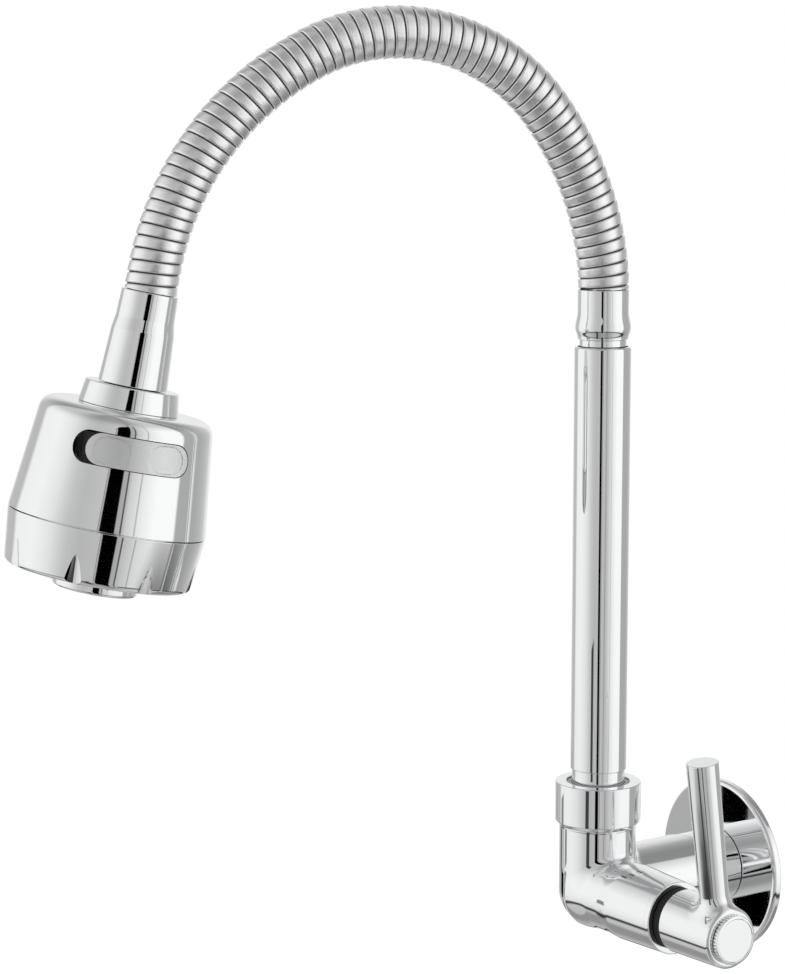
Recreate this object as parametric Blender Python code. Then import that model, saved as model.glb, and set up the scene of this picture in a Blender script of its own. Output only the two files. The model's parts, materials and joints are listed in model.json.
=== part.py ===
# Wall-mounted single-lever kitchen faucet with a swivelling riser, a ribbed gooseneck
# that bends by hand and a two-jet spray head.
# Metres, +Z up. The origin is the middle of the wall flange's back face, on the wall.
# -Y points out of the wall and +X along the valve arm, towards its lever.

import math

import bmesh
import bpy
from mathutils import Matrix, Vector

# Clearances
GAP = 0.0003            # between pieces that touch, and round pieces that turn
MOUTH_GAP = 0.0006      # chamfers at the mouths of bores

# Wall side
STAND_OFF = 0.0665      # wall to the corner where neck, riser and valve arm meet
FLANGE_RADIUS = 0.0350
FLANGE_THICKNESS = 0.0037
FLANGE_FRONT_WALL = 0.0018
FLANGE_EDGE = 0.0013
GASKET_RADIUS = 0.0290
INLET_RADIUS = 0.0104   # half-inch pipe thread, outside
INLET_LENGTH = 0.0130   # how far the thread reaches into the wall
INLET_BORE = 0.0065
NECK_RADIUS = 0.0153

# Corner body and riser socket
BODY_RADIUS = 0.0160
COLLAR_RADIUS = 0.0170
COLLAR_START = 0.0270
SOCKET_TOP = 0.0440
SOCKET_FLOOR = 0.0160
BUSH_SEAT_DEPTH = 0.0037
BUSH_WALL = 0.0016
PASSAGE_RADIUS = 0.0026  # slanted waterway from the valve chamber to the riser

# Valve arm
ARM_ROOT_RADIUS = 0.0144
ARM_STEP = 0.0250
ARM_RADIUS = 0.0151
ARM_END_RADIUS = 0.0142
ARM_END = 0.0495
SEAT_X = 0.0130
SEAT_BORE = 0.0036
CHAMBER_RADIUS = 0.0086
THREAD_START = 0.0360
THREAD_RADIUS = 0.0100

# Ceramic cartridge
CARTRIDGE_NECK_RADIUS = 0.0081
CARTRIDGE_NECK_END = 0.0600
SEAL_THICKNESS = 0.0019
SEAL_BORE = 0.0042
DISC_RADIUS = 0.0072
DISC_THICKNESS = 0.0025
WINDOW_ANGLE = math.radians(78.0)
DRIVE_THICKNESS = 0.0026
STEM_RADIUS = 0.0049
SPLINE_RADIUS = 0.0042
SPLINE_DEPTH = 0.0005
SPLINE_TEETH = 12
STEM_END = 0.0697
O_RING_SECTION = 0.0012
O_RING_GROOVE = 0.0024
STEM_RING_PLACES = (0.0340, 0.0400)
CLIP_THICKNESS = 0.0010
CLIP_RADIUS = 0.0068

# Lever handle
SPACER_THICKNESS = 0.0021
SPACER_RADIUS = 0.0131
HUB_START_RADIUS = 0.0135
HUB_END_RADIUS = 0.0121
HUB_END = 0.0820
HUB_CAVITY_DEPTH = 0.0105
HUB_WEB_END = 0.0740
CAP_BORE = 0.0075
LEVER_X = 0.0732
LEVER_HEIGHT = 0.0679
LEVER_LEAN = math.radians(7.4)
LEVER_BASE_RADIUS = 0.0056
LEVER_TOP_RADIUS = 0.0061
LEVER_FILLET = 0.0030
SCREW_HEAD_RADIUS = 0.0036
SCREW_HEAD_HEIGHT = 0.0023
SCREW_RADIUS = 0.0018
SCREW_LENGTH = 0.0105
CAP_RADIUS = 0.0094
CAP_HEIGHT = 0.0030
CAP_KNURLS = 24
CAP_KNURL_DEPTH = 0.0003
CAP_PLUG_DEPTH = 0.0048
CAP_WALL = 0.0012

# Riser
SPOUT_YAW = math.radians(19.5)  # the spout stands this far left of straight out
RISER_RADIUS = 0.0110
RISER_WALL = 0.0012
RISER_START = 0.0490
RISER_END = 0.2163
SPIGOT_RADIUS = 0.0104
SPIGOT_PLUG = 0.0110
SPIGOT_BORE = 0.0070
SPIGOT_RING_PLACES = (0.0205, 0.0255)
SNAP_RING_PLACE = 0.0305
SNAP_RING_THICKNESS = 0.0012
SNAP_RING_REACH = 0.0012
SNAP_RING_OPENING = 0.0050
FERRULE_PLUG = 0.0123
FERRULE_GROOVE_RADIUS = 0.0091
FERRULE_GROOVE_WIDTH = 0.0027
FERRULE_BULGE_RADIUS = 0.0107
FERRULE_RADIUS = 0.0099
FERRULE_END = 0.2384
FERRULE_BORE = 0.0065

# Gooseneck
HOSE_RADIUS = 0.0099
HOSE_VALLEY = 0.0010    # depth of the groove between two ribs
HOSE_RIBS_PER_SECTION = 11
HOSE_SECTIONS = 6
HOSE_BORE = 0.0040
HOSE_TAIL_RADIUS = 0.0084
HOSE_LOWER_TAIL = 0.0140
HOSE_UPPER_TAIL = 0.0080
HOSE_FIRST_RUN = 0.0060  # straight, above the riser ferrule
HOSE_LAST_RUN = 0.0139   # straight, before the head ferrule
HOSE_RISE_RADIUS = 0.0983
HOSE_RISE_ANGLE = math.radians(43.4)
HOSE_CREST_RADIUS = 0.0761
HOSE_CREST_ANGLE = math.radians(70.0)
HOSE_FALL_RADIUS = 0.1055
HOSE_FALL_ANGLE = math.radians(55.1)
BALL_RADIUS = 0.0079     # the ball end of each section
BALL_FRONT = 0.0050
BALL_GAP = 0.0005
BALL_STEPS = 4
CUP_LIP = 0.0015         # how far the next section's cup laps back over the ball

# Head ferrule and collar, all measured down the head's axis from the hose end
HEAD_FERRULE_TOP_RADIUS = 0.0106
HEAD_FERRULE_NECK_END = 0.0100
HEAD_FERRULE_FLARE_END = 0.0147
HEAD_FERRULE_FLARE_RADIUS = 0.0117
HEAD_FERRULE_FOOT_RADIUS = 0.0124
HEAD_FERRULE_LENGTH = 0.0352
HEAD_SPIGOT_RADIUS = 0.0080
HEAD_SPIGOT_LENGTH = 0.0113
HEAD_WATER_BORE = 0.0050
HEAD_COLLAR_TOP_RADIUS = 0.0176
HEAD_COLLAR_FOOT_RADIUS = 0.0184
HEAD_COLLAR_HEIGHT = 0.0085

# Spray head
HOUSING_WALL = 0.0020
HOUSING_TOP_RADIUS = 0.0334
HOUSING_SHOULDER = 0.0080
HOUSING_SEAM_RADIUS = 0.0374
HOUSING_HEIGHT = 0.0430
BEZEL_TAPER = 0.0027
BEZEL_FOOT_RADIUS = HOUSING_SEAM_RADIUS - BEZEL_TAPER
BEZEL_HEIGHT = 0.0210
BEZEL_FOOT_EDGE = 0.0018
BEZEL_WALL = 0.0021      # at the foot
BEZEL_BORE = BEZEL_FOOT_RADIUS - BEZEL_WALL
BEZEL_LIP_HEIGHT = 0.0034
BEZEL_LEDGE = 0.0014
FLUTE_COUNT = 8
FLUTE_START = math.radians(12.0)
FLUTE_HEIGHT = 0.0130
FLUTE_HALF_WIDTH = 0.0044
FLUTE_DEPTH = 0.0017
PLATE_THICKNESS = 0.0025
PLATE_BORE = 0.0170
NOZZLE_INNER_INSET = 0.0040  # from the plate's bore to the inner ring of nozzles
NOZZLE_OUTER_INSET = 0.0054  # from the bezel's bore to the outer ring
NOZZLE_COUNTS = (10, 16)
NOZZLE_RADIUS = 0.0010
NOZZLE_HEIGHT = 0.0014
OUTLET_RADIUS = 0.0163
OUTLET_WALL = 0.0032
OUTLET_REACH = 0.0052    # how far the outlet ring stands below the bezel
AERATOR_HEIGHT = 0.0050
AERATOR_SLOTS = 2
BLOCK_RADIUS = 0.0200
BLOCK_NECK_RADIUS = 0.0140
BLOCK_FLANGE_THICKNESS = 0.0025
BLOCK_PORTS = 6
BLOCK_PORT_RADIUS = 0.0022
BLOCK_PORT_INSET = 0.0066  # from the bezel's bore to the middle of a port

# Selector
SELECTOR_DROP = 0.0156          # from the housing's top face to the slot's middle
SLOT_HALF_ANGLE = math.radians(38.3)
SLOT_HEIGHT = 0.0130
BUTTON_HALF_ANGLE = math.radians(34.5)
BUTTON_PROUD = 0.0004
BUTTON_STOP_GAP = math.radians(0.5)
DIVIDER_HALF_ANGLE = math.radians(6.0)
DIVIDER_GROOVE = 0.0004
CARRIER_CLEARANCE = 0.0006
CARRIER_RADIUS = HOUSING_TOP_RADIUS - HOUSING_WALL - CARRIER_CLEARANCE
CARRIER_WALL = 0.0026
CARRIER_LAP = 0.0012
DETENT_BOSS_RADIUS = 0.0038
DETENT_BALL_RADIUS = 0.0016
DETENT_BORE_DEPTH = 0.0080
DETENT_WIRE_RADIUS = 0.00025
DETENT_TURNS = 5

# Facets round each turned piece, and steps round each fillet
SIDES_WIDE = 40
SIDES_BODY = 28
SIDES_ROUND = 20
SIDES_SMALL = 12
SIDES_HOSE = 10
SIDES_TINY = 8
SIDES_O_RING = 6
FILLET_STEPS = 3
SLOT_EDGE_STEPS = 5
BALL_RINGS = 5
COIL_SIDES = 8
LARGEST_CHAMFER = 0.0008
MERGE_DISTANCE = 1e-6
FLAT = 0.9999           # cosine between two faces that count as one plane

# Colours: base colour, metallic, roughness
FINISHES = {
    "chrome": ((0.82, 0.83, 0.84), 1.0, 0.06),
    "steel": ((0.70, 0.71, 0.72), 1.0, 0.20),
    "brass": ((0.72, 0.58, 0.30), 1.0, 0.30),
    "black_plastic": ((0.02, 0.02, 0.02), 0.0, 0.45),
    "grey_plastic": ((0.55, 0.56, 0.57), 0.0, 0.45),
    "white_plastic": ((0.86, 0.86, 0.85), 0.0, 0.40),
    "rubber": ((0.06, 0.06, 0.065), 0.0, 0.75),
    "ceramic": ((0.88, 0.87, 0.84), 0.0, 0.25),
}


def clear_scene():
    for old in list(bpy.data.objects):
        bpy.data.objects.remove(old, do_unlink=True)


def finish(name):
    """Return the Principled material of this name, made once."""
    found = bpy.data.materials.get(name)
    if found:
        return found
    colour, metallic, roughness = FINISHES[name]
    made = bpy.data.materials.new(name)
    made.use_nodes = True
    shader = made.node_tree.nodes["Principled BSDF"]
    shader.inputs["Base Color"].default_value = (*colour, 1.0)
    shader.inputs["Metallic"].default_value = metallic
    shader.inputs["Roughness"].default_value = roughness
    return made


def place_object(name, mesh, parent=None, matrix=Matrix()):
    made = bpy.data.objects.new(name, mesh)
    bpy.context.scene.collection.objects.link(made)
    made.parent = parent
    made.matrix_local = matrix
    return made


def object_from(bm, name, finish_name, parent=None, matrix=Matrix()):
    """Turn a bmesh into a smooth-shaded object with its faces pointing out."""
    bmesh.ops.recalc_face_normals(bm, faces=bm.faces)
    mesh = bpy.data.meshes.new(name)
    bm.to_mesh(mesh)
    bm.free()
    mesh.shade_smooth()
    mesh.set_sharp_from_angle(angle=math.radians(35.0))
    mesh.materials.append(finish(finish_name))
    return place_object(name, mesh, parent, matrix)


def frame(name, parent=None, matrix=Matrix()):
    return place_object(name, None, parent, matrix)


def rounded(points):
    """Replace each corner given as (radius, height, fillet) by an arc, or a small one by a chamfer."""
    result = []
    count = len(points)
    for index, point in enumerate(points):
        if len(point) == 2:
            result.append(Vector(point))
            continue
        corner = Vector(point[:2])
        back = (Vector(points[index - 1][:2]) - corner).normalized()
        ahead = (Vector(points[(index + 1) % count][:2]) - corner).normalized()
        half = back.angle(ahead) / 2.0
        run = point[2] / math.tan(half)
        centre = corner + (back + ahead).normalized() * (point[2] / math.sin(half))
        start = corner + back * run - centre
        end = corner + ahead * run - centre
        sweep = math.atan2(start.cross(end), start.dot(end))
        steps = FILLET_STEPS if point[2] > LARGEST_CHAMFER else 1
        for step in range(steps + 1):
            result.append(centre + Matrix.Rotation(sweep * step / steps, 2) @ start)
    return result


def turned_bmesh(points, sides):
    """Spin a closed outline of (radius, height) points about Z."""
    bm = bmesh.new()
    outline = rounded(points)
    verts = [bm.verts.new((max(p[0], 0.0), 0.0, p[1])) for p in outline]
    edges = []
    for index, vert in enumerate(verts):
        other = verts[(index + 1) % len(verts)]
        if vert.co.x > 0.0 or other.co.x > 0.0:
            edges.append(bm.edges.new((vert, other)))
    bmesh.ops.spin(bm, geom=verts + edges, cent=(0, 0, 0), axis=(0, 0, 1),
                   angle=math.tau, steps=sides, use_merge=True)
    bmesh.ops.remove_doubles(bm, verts=bm.verts, dist=MERGE_DISTANCE)
    bm.normal_update()
    hubs = [vert for vert in bm.verts if len(vert.link_faces) == sides
            and all(face.normal.dot(vert.link_faces[0].normal) > FLAT for face in vert.link_faces)]
    bmesh.ops.dissolve_verts(bm, verts=hubs)
    return bm


def turned(name, points, finish_name, parent=None, matrix=Matrix(), sides=SIDES_ROUND):
    return object_from(turned_bmesh(points, sides), name, finish_name, parent, matrix)


def prism_bmesh(outline, low, high):
    """Extrude a closed (x, y) outline from one height to another."""
    bm = bmesh.new()
    face = bm.faces.new([bm.verts.new((x, y, low)) for x, y in outline])
    grown = bmesh.ops.extrude_face_region(bm, geom=[face])
    risen = [item for item in grown["geom"] if isinstance(item, bmesh.types.BMVert)]
    bmesh.ops.translate(bm, verts=risen, vec=(0, 0, high - low))
    return bm


def star(outer, inner, teeth):
    """Outline of a knurl or a spline: radii that alternate round a circle."""
    points = []
    for index in range(teeth * 2):
        angle = math.pi * index / teeth
        radius = outer if index % 2 == 0 else inner
        points.append((radius * math.cos(angle), radius * math.sin(angle)))
    return points


def as_tool(tool):
    tool.hide_render = True
    tool.display_type = 'WIRE'
    return tool


def cut_or_join(target, tool, operation='DIFFERENCE'):
    step = target.modifiers.new(tool.name, 'BOOLEAN')
    step.operation = operation
    step.solver = 'EXACT'
    step.object = as_tool(tool)


ALONG_X = Matrix.Rotation(math.pi / 2, 4, 'Y')   # local Z becomes +X
ALONG_Y = Matrix.Rotation(-math.pi / 2, 4, 'X')  # local Z becomes +Y


def tube_between(name, start, end, radius, parent=None, sides=SIDES_SMALL):
    """A plain round bar from one point to another, used to cut waterways."""
    way = Vector(end) - Vector(start)
    turn = way.to_track_quat('Z', 'Y').to_matrix().to_4x4()
    points = [(0, 0), (radius, 0), (radius, way.length), (0, way.length)]
    return turned(name, points, "brass", parent, Matrix.Translation(start) @ turn, sides)


def make_wall_flange(root):
    hole = INLET_RADIUS + GAP
    recess = GASKET_RADIUS + GAP
    floor = -FLANGE_THICKNESS + FLANGE_FRONT_WALL
    turned("wall_flange", [
        (hole, -FLANGE_THICKNESS), (hole, floor), (recess, floor), (recess, 0.0),
        (FLANGE_RADIUS, 0.0), (FLANGE_RADIUS, -FLANGE_THICKNESS, FLANGE_EDGE),
    ], "chrome", root, ALONG_Y, SIDES_WIDE)
    turned("flange_gasket", [
        (hole + GAP, floor + GAP), (GASKET_RADIUS, floor + GAP),
        (GASKET_RADIUS, 0.0), (hole + GAP, 0.0),
    ], "rubber", root, ALONG_Y)


def make_valve_body(corner):
    """One casting: neck with inlet thread, corner, riser socket and valve arm."""
    sphere = [(BODY_RADIUS * math.sin(a), -BODY_RADIUS * math.cos(a))
              for a in (math.pi / 2 * step / SIDES_TINY for step in range(SIDES_TINY + 1))]
    body = turned("valve_body", sphere + [
        (BODY_RADIUS, COLLAR_START), (COLLAR_RADIUS, COLLAR_START + COLLAR_RADIUS - BODY_RADIUS),
        (COLLAR_RADIUS, SOCKET_TOP, MOUTH_GAP), (0.0, SOCKET_TOP),
    ], "chrome", corner, Matrix(), SIDES_BODY)

    shoulder = STAND_OFF - FLANGE_THICKNESS - GAP
    neck = turned("neck_blank", [
        (0.0, 0.0), (NECK_RADIUS, 0.0), (NECK_RADIUS, shoulder), (INLET_RADIUS, shoulder),
        (INLET_RADIUS, STAND_OFF + INLET_LENGTH, MOUTH_GAP), (0.0, STAND_OFF + INLET_LENGTH),
    ], "chrome", corner, ALONG_Y, SIDES_BODY)
    cut_or_join(body, neck, 'UNION')

    step_rise = ARM_RADIUS - ARM_ROOT_RADIUS
    arm = turned("arm_blank", [
        (0.0, 0.0), (ARM_ROOT_RADIUS, 0.0), (ARM_ROOT_RADIUS, ARM_STEP),
        (ARM_RADIUS, ARM_STEP + step_rise * 2.0), (ARM_END_RADIUS, ARM_END, MOUTH_GAP),
        (0.0, ARM_END),
    ], "chrome", corner, ALONG_X, SIDES_BODY)
    cut_or_join(body, arm, 'UNION')

    through = MOUTH_GAP * 2.0
    inlet = tube_between("inlet_tool", (0, 0, 0), (0, STAND_OFF + INLET_LENGTH + through, 0),
                         INLET_BORE, corner)
    cut_or_join(body, inlet)

    chamber = turned("chamber_tool", [
        (0.0, 0.0), (SEAT_BORE, 0.0), (SEAT_BORE, SEAT_X), (CHAMBER_RADIUS, SEAT_X),
        (CHAMBER_RADIUS, THREAD_START), (THREAD_RADIUS, THREAD_START),
        (THREAD_RADIUS, ARM_END + through), (0.0, ARM_END + through),
    ], "chrome", corner, ALONG_X, SIDES_ROUND)
    cut_or_join(body, chamber)

    bore = SPIGOT_RADIUS + GAP
    groove = bore + SNAP_RING_REACH + GAP
    half = SNAP_RING_THICKNESS / 2.0 + GAP
    bush_floor = SOCKET_TOP - BUSH_SEAT_DEPTH
    bush_bore = bore + BUSH_WALL + GAP
    socket = turned("socket_tool", [
        (0.0, SOCKET_FLOOR), (bore, SOCKET_FLOOR), (bore, SNAP_RING_PLACE - half),
        (groove, SNAP_RING_PLACE - half), (groove, SNAP_RING_PLACE + half),
        (bore, SNAP_RING_PLACE + half), (bore, bush_floor), (bush_bore, bush_floor),
        (bush_bore, SOCKET_TOP + through), (0.0, SOCKET_TOP + through),
    ], "chrome", corner, Matrix(), SIDES_ROUND)
    cut_or_join(body, socket)

    low = (SEAT_X + PASSAGE_RADIUS * 2.0, 0.0, SEAT_BORE)
    high = (SEAT_BORE, 0.0, SOCKET_FLOOR + PASSAGE_RADIUS)
    cut_or_join(body, tube_between("passage_tool", low, high, PASSAGE_RADIUS, corner))

    turned("swivel_bush", [
        (bore, bush_floor + GAP), (bore + BUSH_WALL, bush_floor + GAP),
        (bore + BUSH_WALL, SOCKET_TOP - MOUTH_GAP), (bore, SOCKET_TOP - MOUTH_GAP),
    ], "grey_plastic", corner)

    ring_inner = bore - SNAP_RING_REACH
    ring = turned("spout_snap_ring", [
        (ring_inner, SNAP_RING_PLACE - half + GAP), (groove - GAP, SNAP_RING_PLACE - half + GAP),
        (groove - GAP, SNAP_RING_PLACE + half - GAP), (ring_inner, SNAP_RING_PLACE + half - GAP),
    ], "steel", corner)
    gap_tool = tube_between("snap_gap_tool", (0, 0, SNAP_RING_PLACE),
                            (0, groove * 1.5, SNAP_RING_PLACE), SNAP_RING_OPENING / 2.0, corner)
    cut_or_join(ring, gap_tool)


def disc_with_windows(name, start, windows_angle, corner):
    """A ceramic disc with two opposite quarter windows."""
    disc = turned(name, [
        (0.0, start), (DISC_RADIUS, start), (DISC_RADIUS, start + DISC_THICKNESS),
        (0.0, start + DISC_THICKNESS),
    ], "ceramic", corner, ALONG_X, SIDES_SMALL)
    inner, outer = DISC_RADIUS * 0.25, DISC_RADIUS * 0.80
    for side in (0.0, math.pi):
        outline = []
        for radius, steps in ((outer, range(6)), (inner, range(5, -1, -1))):
            for step in steps:
                angle = windows_angle + side + WINDOW_ANGLE * (step / 5.0 - 0.5)
                outline.append((radius * math.cos(angle), radius * math.sin(angle)))
        bm = prism_bmesh(outline, start - GAP, start + DISC_THICKNESS + GAP)
        tool = object_from(bm, f"{name}_window_{int(side)}", "ceramic", corner, ALONG_X)
        cut_or_join(disc, tool)
    return disc


def o_ring(name, bore_radius, place, finish_name, parent, matrix=Matrix()):
    """A rubber ring that fills a groove up to GAP below the bore around it."""
    half = O_RING_SECTION / 2.0
    middle = bore_radius - GAP - half
    section = [(middle + half * math.cos(a), place + half * math.sin(a))
               for a in (math.tau * step / SIDES_O_RING for step in range(SIDES_O_RING))]
    return turned(name, section, finish_name, parent, matrix, SIDES_SMALL)


def grooved(radius, places, bore_radius):
    """Outline points of a shaft with a groove for an O-ring at each place."""
    floor = bore_radius - GAP * 2.0 - O_RING_SECTION
    points = []
    for place in places:
        low, high = place - O_RING_GROOVE / 2.0, place + O_RING_GROOVE / 2.0
        points += [(radius, low), (floor, low), (floor, high), (radius, high)]
    return points


def make_cartridge(corner, lever_frame):
    start = SEAT_X + GAP + SEAL_THICKNESS + GAP
    cavity = DISC_RADIUS + GAP
    stem_bore = STEM_RADIUS + GAP
    drive_start = start + DISC_THICKNESS * 2.0 + GAP * 2.0
    cavity_end = drive_start + DRIVE_THICKNESS + GAP
    outer = CHAMBER_RADIUS - GAP
    thread = THREAD_RADIUS - GAP

    turned("seat_seal", [
        (SEAL_BORE, SEAT_X + GAP), (outer, SEAT_X + GAP),
        (outer, SEAT_X + GAP + SEAL_THICKNESS), (SEAL_BORE, SEAT_X + GAP + SEAL_THICKNESS),
    ], "rubber", corner, ALONG_X, SIDES_SMALL)

    shell = turned("cartridge_body", [
        (cavity, start), (outer, start), (outer, THREAD_START + GAP),
        (thread, THREAD_START + GAP), (thread, ARM_END - GAP),
        (CARTRIDGE_NECK_RADIUS, ARM_END - GAP), (CARTRIDGE_NECK_RADIUS, CARTRIDGE_NECK_END),
        (stem_bore, CARTRIDGE_NECK_END), (stem_bore, cavity_end), (cavity, cavity_end),
    ], "brass", corner, ALONG_X)
    window_low = start + DISC_THICKNESS + GAP
    half = DISC_RADIUS / 2.0
    window = prism_bmesh([(-outer * 1.5, -half), (outer * 1.5, -half),
                          (outer * 1.5, half), (-outer * 1.5, half)], window_low, cavity_end)
    tool = object_from(window, "cartridge_window_tool", "brass", corner, ALONG_X)
    cut_or_join(shell, tool)

    disc_with_windows("fixed_disc", start, 0.0, corner)
    disc_with_windows("moving_disc", start + DISC_THICKNESS + GAP, math.pi / 2, lever_frame)

    clip_low = CARTRIDGE_NECK_END + GAP
    clip_high = clip_low + CLIP_THICKNESS
    clip_floor = STEM_RADIUS - CLIP_THICKNESS
    spline_start = clip_high + GAP * 3.0
    stem = turned("stem", [
        (0.0, drive_start), (DISC_RADIUS, drive_start),
        (DISC_RADIUS, drive_start + DRIVE_THICKNESS - GAP),
        (STEM_RADIUS, drive_start + DRIVE_THICKNESS - GAP),
        *grooved(STEM_RADIUS, STEM_RING_PLACES, stem_bore),
        (STEM_RADIUS, clip_low - GAP), (clip_floor, clip_low - GAP),
        (clip_floor, clip_high + GAP), (STEM_RADIUS, clip_high + GAP),
        (STEM_RADIUS, spline_start), (0.0, spline_start),
    ], "brass", lever_frame, ALONG_X, SIDES_SMALL)
    spline = object_from(
        prism_bmesh(star(SPLINE_RADIUS, SPLINE_RADIUS - SPLINE_DEPTH, SPLINE_TEETH),
                    spline_start - GAP, STEM_END),
        "spline_blank", "brass", lever_frame, ALONG_X)
    cut_or_join(stem, spline, 'UNION')
    screw_reach = HUB_WEB_END + GAP - SCREW_LENGTH
    cut_or_join(stem, tube_between("stem_hole_tool", (screw_reach - GAP, 0, 0),
                                   (STEM_END + GAP, 0, 0), SCREW_RADIUS + GAP, lever_frame))
    for number, place in enumerate(STEM_RING_PLACES, start=1):
        o_ring(f"stem_o_ring_{number}", stem_bore, place, "rubber", lever_frame, ALONG_X)

    clip = turned("stem_clip", [
        (clip_floor + GAP, clip_low), (CLIP_RADIUS, clip_low),
        (CLIP_RADIUS, clip_high), (clip_floor + GAP, clip_high),
    ], "steel", lever_frame, ALONG_X, SIDES_SMALL)
    clip_middle = (clip_low + clip_high) / 2.0
    cut_or_join(clip, tube_between("clip_gap_tool", (clip_middle, 0, 0),
                                   (clip_middle, 0, -CLIP_RADIUS * 1.5), STEM_RADIUS / 2.0,
                                   lever_frame))


def make_handle(corner, lever_frame):
    spacer_start = ARM_END + GAP
    hub_start = spacer_start + SPACER_THICKNESS + GAP
    cavity = CARTRIDGE_NECK_RADIUS + GAP
    cavity_end = hub_start + HUB_CAVITY_DEPTH
    turned("spacer_ring", [
        (cavity, spacer_start), (SPACER_RADIUS, spacer_start),
        (SPACER_RADIUS, spacer_start + SPACER_THICKNESS), (cavity, spacer_start + SPACER_THICKNESS),
    ], "black_plastic", corner, ALONG_X, SIDES_BODY)

    hub = turned("lever_handle", [
        (0.0, hub_start), (HUB_START_RADIUS, hub_start, MOUTH_GAP),
        (HUB_END_RADIUS, HUB_END, LEVER_FILLET / 2.0), (0.0, HUB_END),
    ], "chrome", lever_frame, ALONG_X, SIDES_BODY)
    foot = HUB_END_RADIUS - LEVER_FILLET / 2.0
    lever = turned("lever_blank", [
        (0.0, 0.0), (LEVER_BASE_RADIUS + LEVER_FILLET, 0.0),
        (LEVER_BASE_RADIUS + LEVER_FILLET, foot),
        (LEVER_BASE_RADIUS, foot + LEVER_FILLET, LEVER_FILLET * 0.9),
        (LEVER_TOP_RADIUS, LEVER_HEIGHT, MOUTH_GAP / 2.0), (0.0, LEVER_HEIGHT),
    ], "chrome", lever_frame,
        Matrix.Translation((LEVER_X, 0, 0)) @ Matrix.Rotation(LEVER_LEAN, 4, 'X'), SIDES_ROUND)
    cut_or_join(hub, lever, 'UNION')
    cut_or_join(hub, turned("hub_cavity_tool", [
        (0.0, hub_start - MOUTH_GAP), (cavity, hub_start - MOUTH_GAP),
        (cavity, cavity_end), (0.0, cavity_end),
    ], "chrome", lever_frame, ALONG_X))
    spline_bore = star(SPLINE_RADIUS + GAP, SPLINE_RADIUS - SPLINE_DEPTH + GAP, SPLINE_TEETH)
    cut_or_join(hub, object_from(
        prism_bmesh(spline_bore, cavity_end - GAP, STEM_END + GAP),
        "spline_tool", "chrome", lever_frame, ALONG_X))
    cut_or_join(hub, turned("cap_bore_tool", [
        (0.0, STEM_END), (SCREW_RADIUS + GAP, STEM_END), (SCREW_RADIUS + GAP, HUB_WEB_END),
        (CAP_BORE, HUB_WEB_END), (CAP_BORE, HUB_END + MOUTH_GAP), (0.0, HUB_END + MOUTH_GAP),
    ], "chrome", lever_frame, ALONG_X, SIDES_SMALL))

    head_low = HUB_WEB_END + GAP
    screw = turned("handle_screw", [
        (0.0, head_low - SCREW_LENGTH), (SCREW_RADIUS, head_low - SCREW_LENGTH),
        (SCREW_RADIUS, head_low), (SCREW_HEAD_RADIUS, head_low),
        (SCREW_HEAD_RADIUS, head_low + SCREW_HEAD_HEIGHT, MOUTH_GAP),
        (0.0, head_low + SCREW_HEAD_HEIGHT),
    ], "steel", lever_frame, ALONG_X, SIDES_SMALL)
    socket = prism_bmesh([(SCREW_RADIUS * math.cos(a), SCREW_RADIUS * math.sin(a))
                          for a in (math.tau * step / 6 for step in range(6))],
                         head_low + SCREW_HEAD_HEIGHT / 2.0, head_low + SCREW_HEAD_HEIGHT * 1.5)
    cut_or_join(screw, object_from(socket, "screw_socket_tool", "steel", lever_frame, ALONG_X))

    cap_low = HUB_END + GAP
    cap = object_from(
        prism_bmesh(star(CAP_RADIUS, CAP_RADIUS - CAP_KNURL_DEPTH, CAP_KNURLS),
                    cap_low, cap_low + CAP_HEIGHT - MOUTH_GAP),
        "index_cap", "chrome", lever_frame, ALONG_X)
    cut_or_join(cap, turned("cap_face_blank", [
        (0.0, cap_low + MOUTH_GAP), (CAP_RADIUS - MOUTH_GAP, cap_low + MOUTH_GAP),
        (CAP_RADIUS - MOUTH_GAP, cap_low + CAP_HEIGHT, MOUTH_GAP), (0.0, cap_low + CAP_HEIGHT),
    ], "chrome", lever_frame, ALONG_X), 'UNION')
    cut_or_join(cap, turned("cap_plug_blank", [
        (CAP_BORE - GAP - CAP_WALL, cap_low - CAP_PLUG_DEPTH),
        (CAP_BORE - GAP, cap_low - CAP_PLUG_DEPTH),
        (CAP_BORE - GAP, cap_low + MOUTH_GAP), (CAP_BORE - GAP - CAP_WALL, cap_low + MOUTH_GAP),
    ], "chrome", lever_frame, ALONG_X, SIDES_SMALL), 'UNION')


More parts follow.
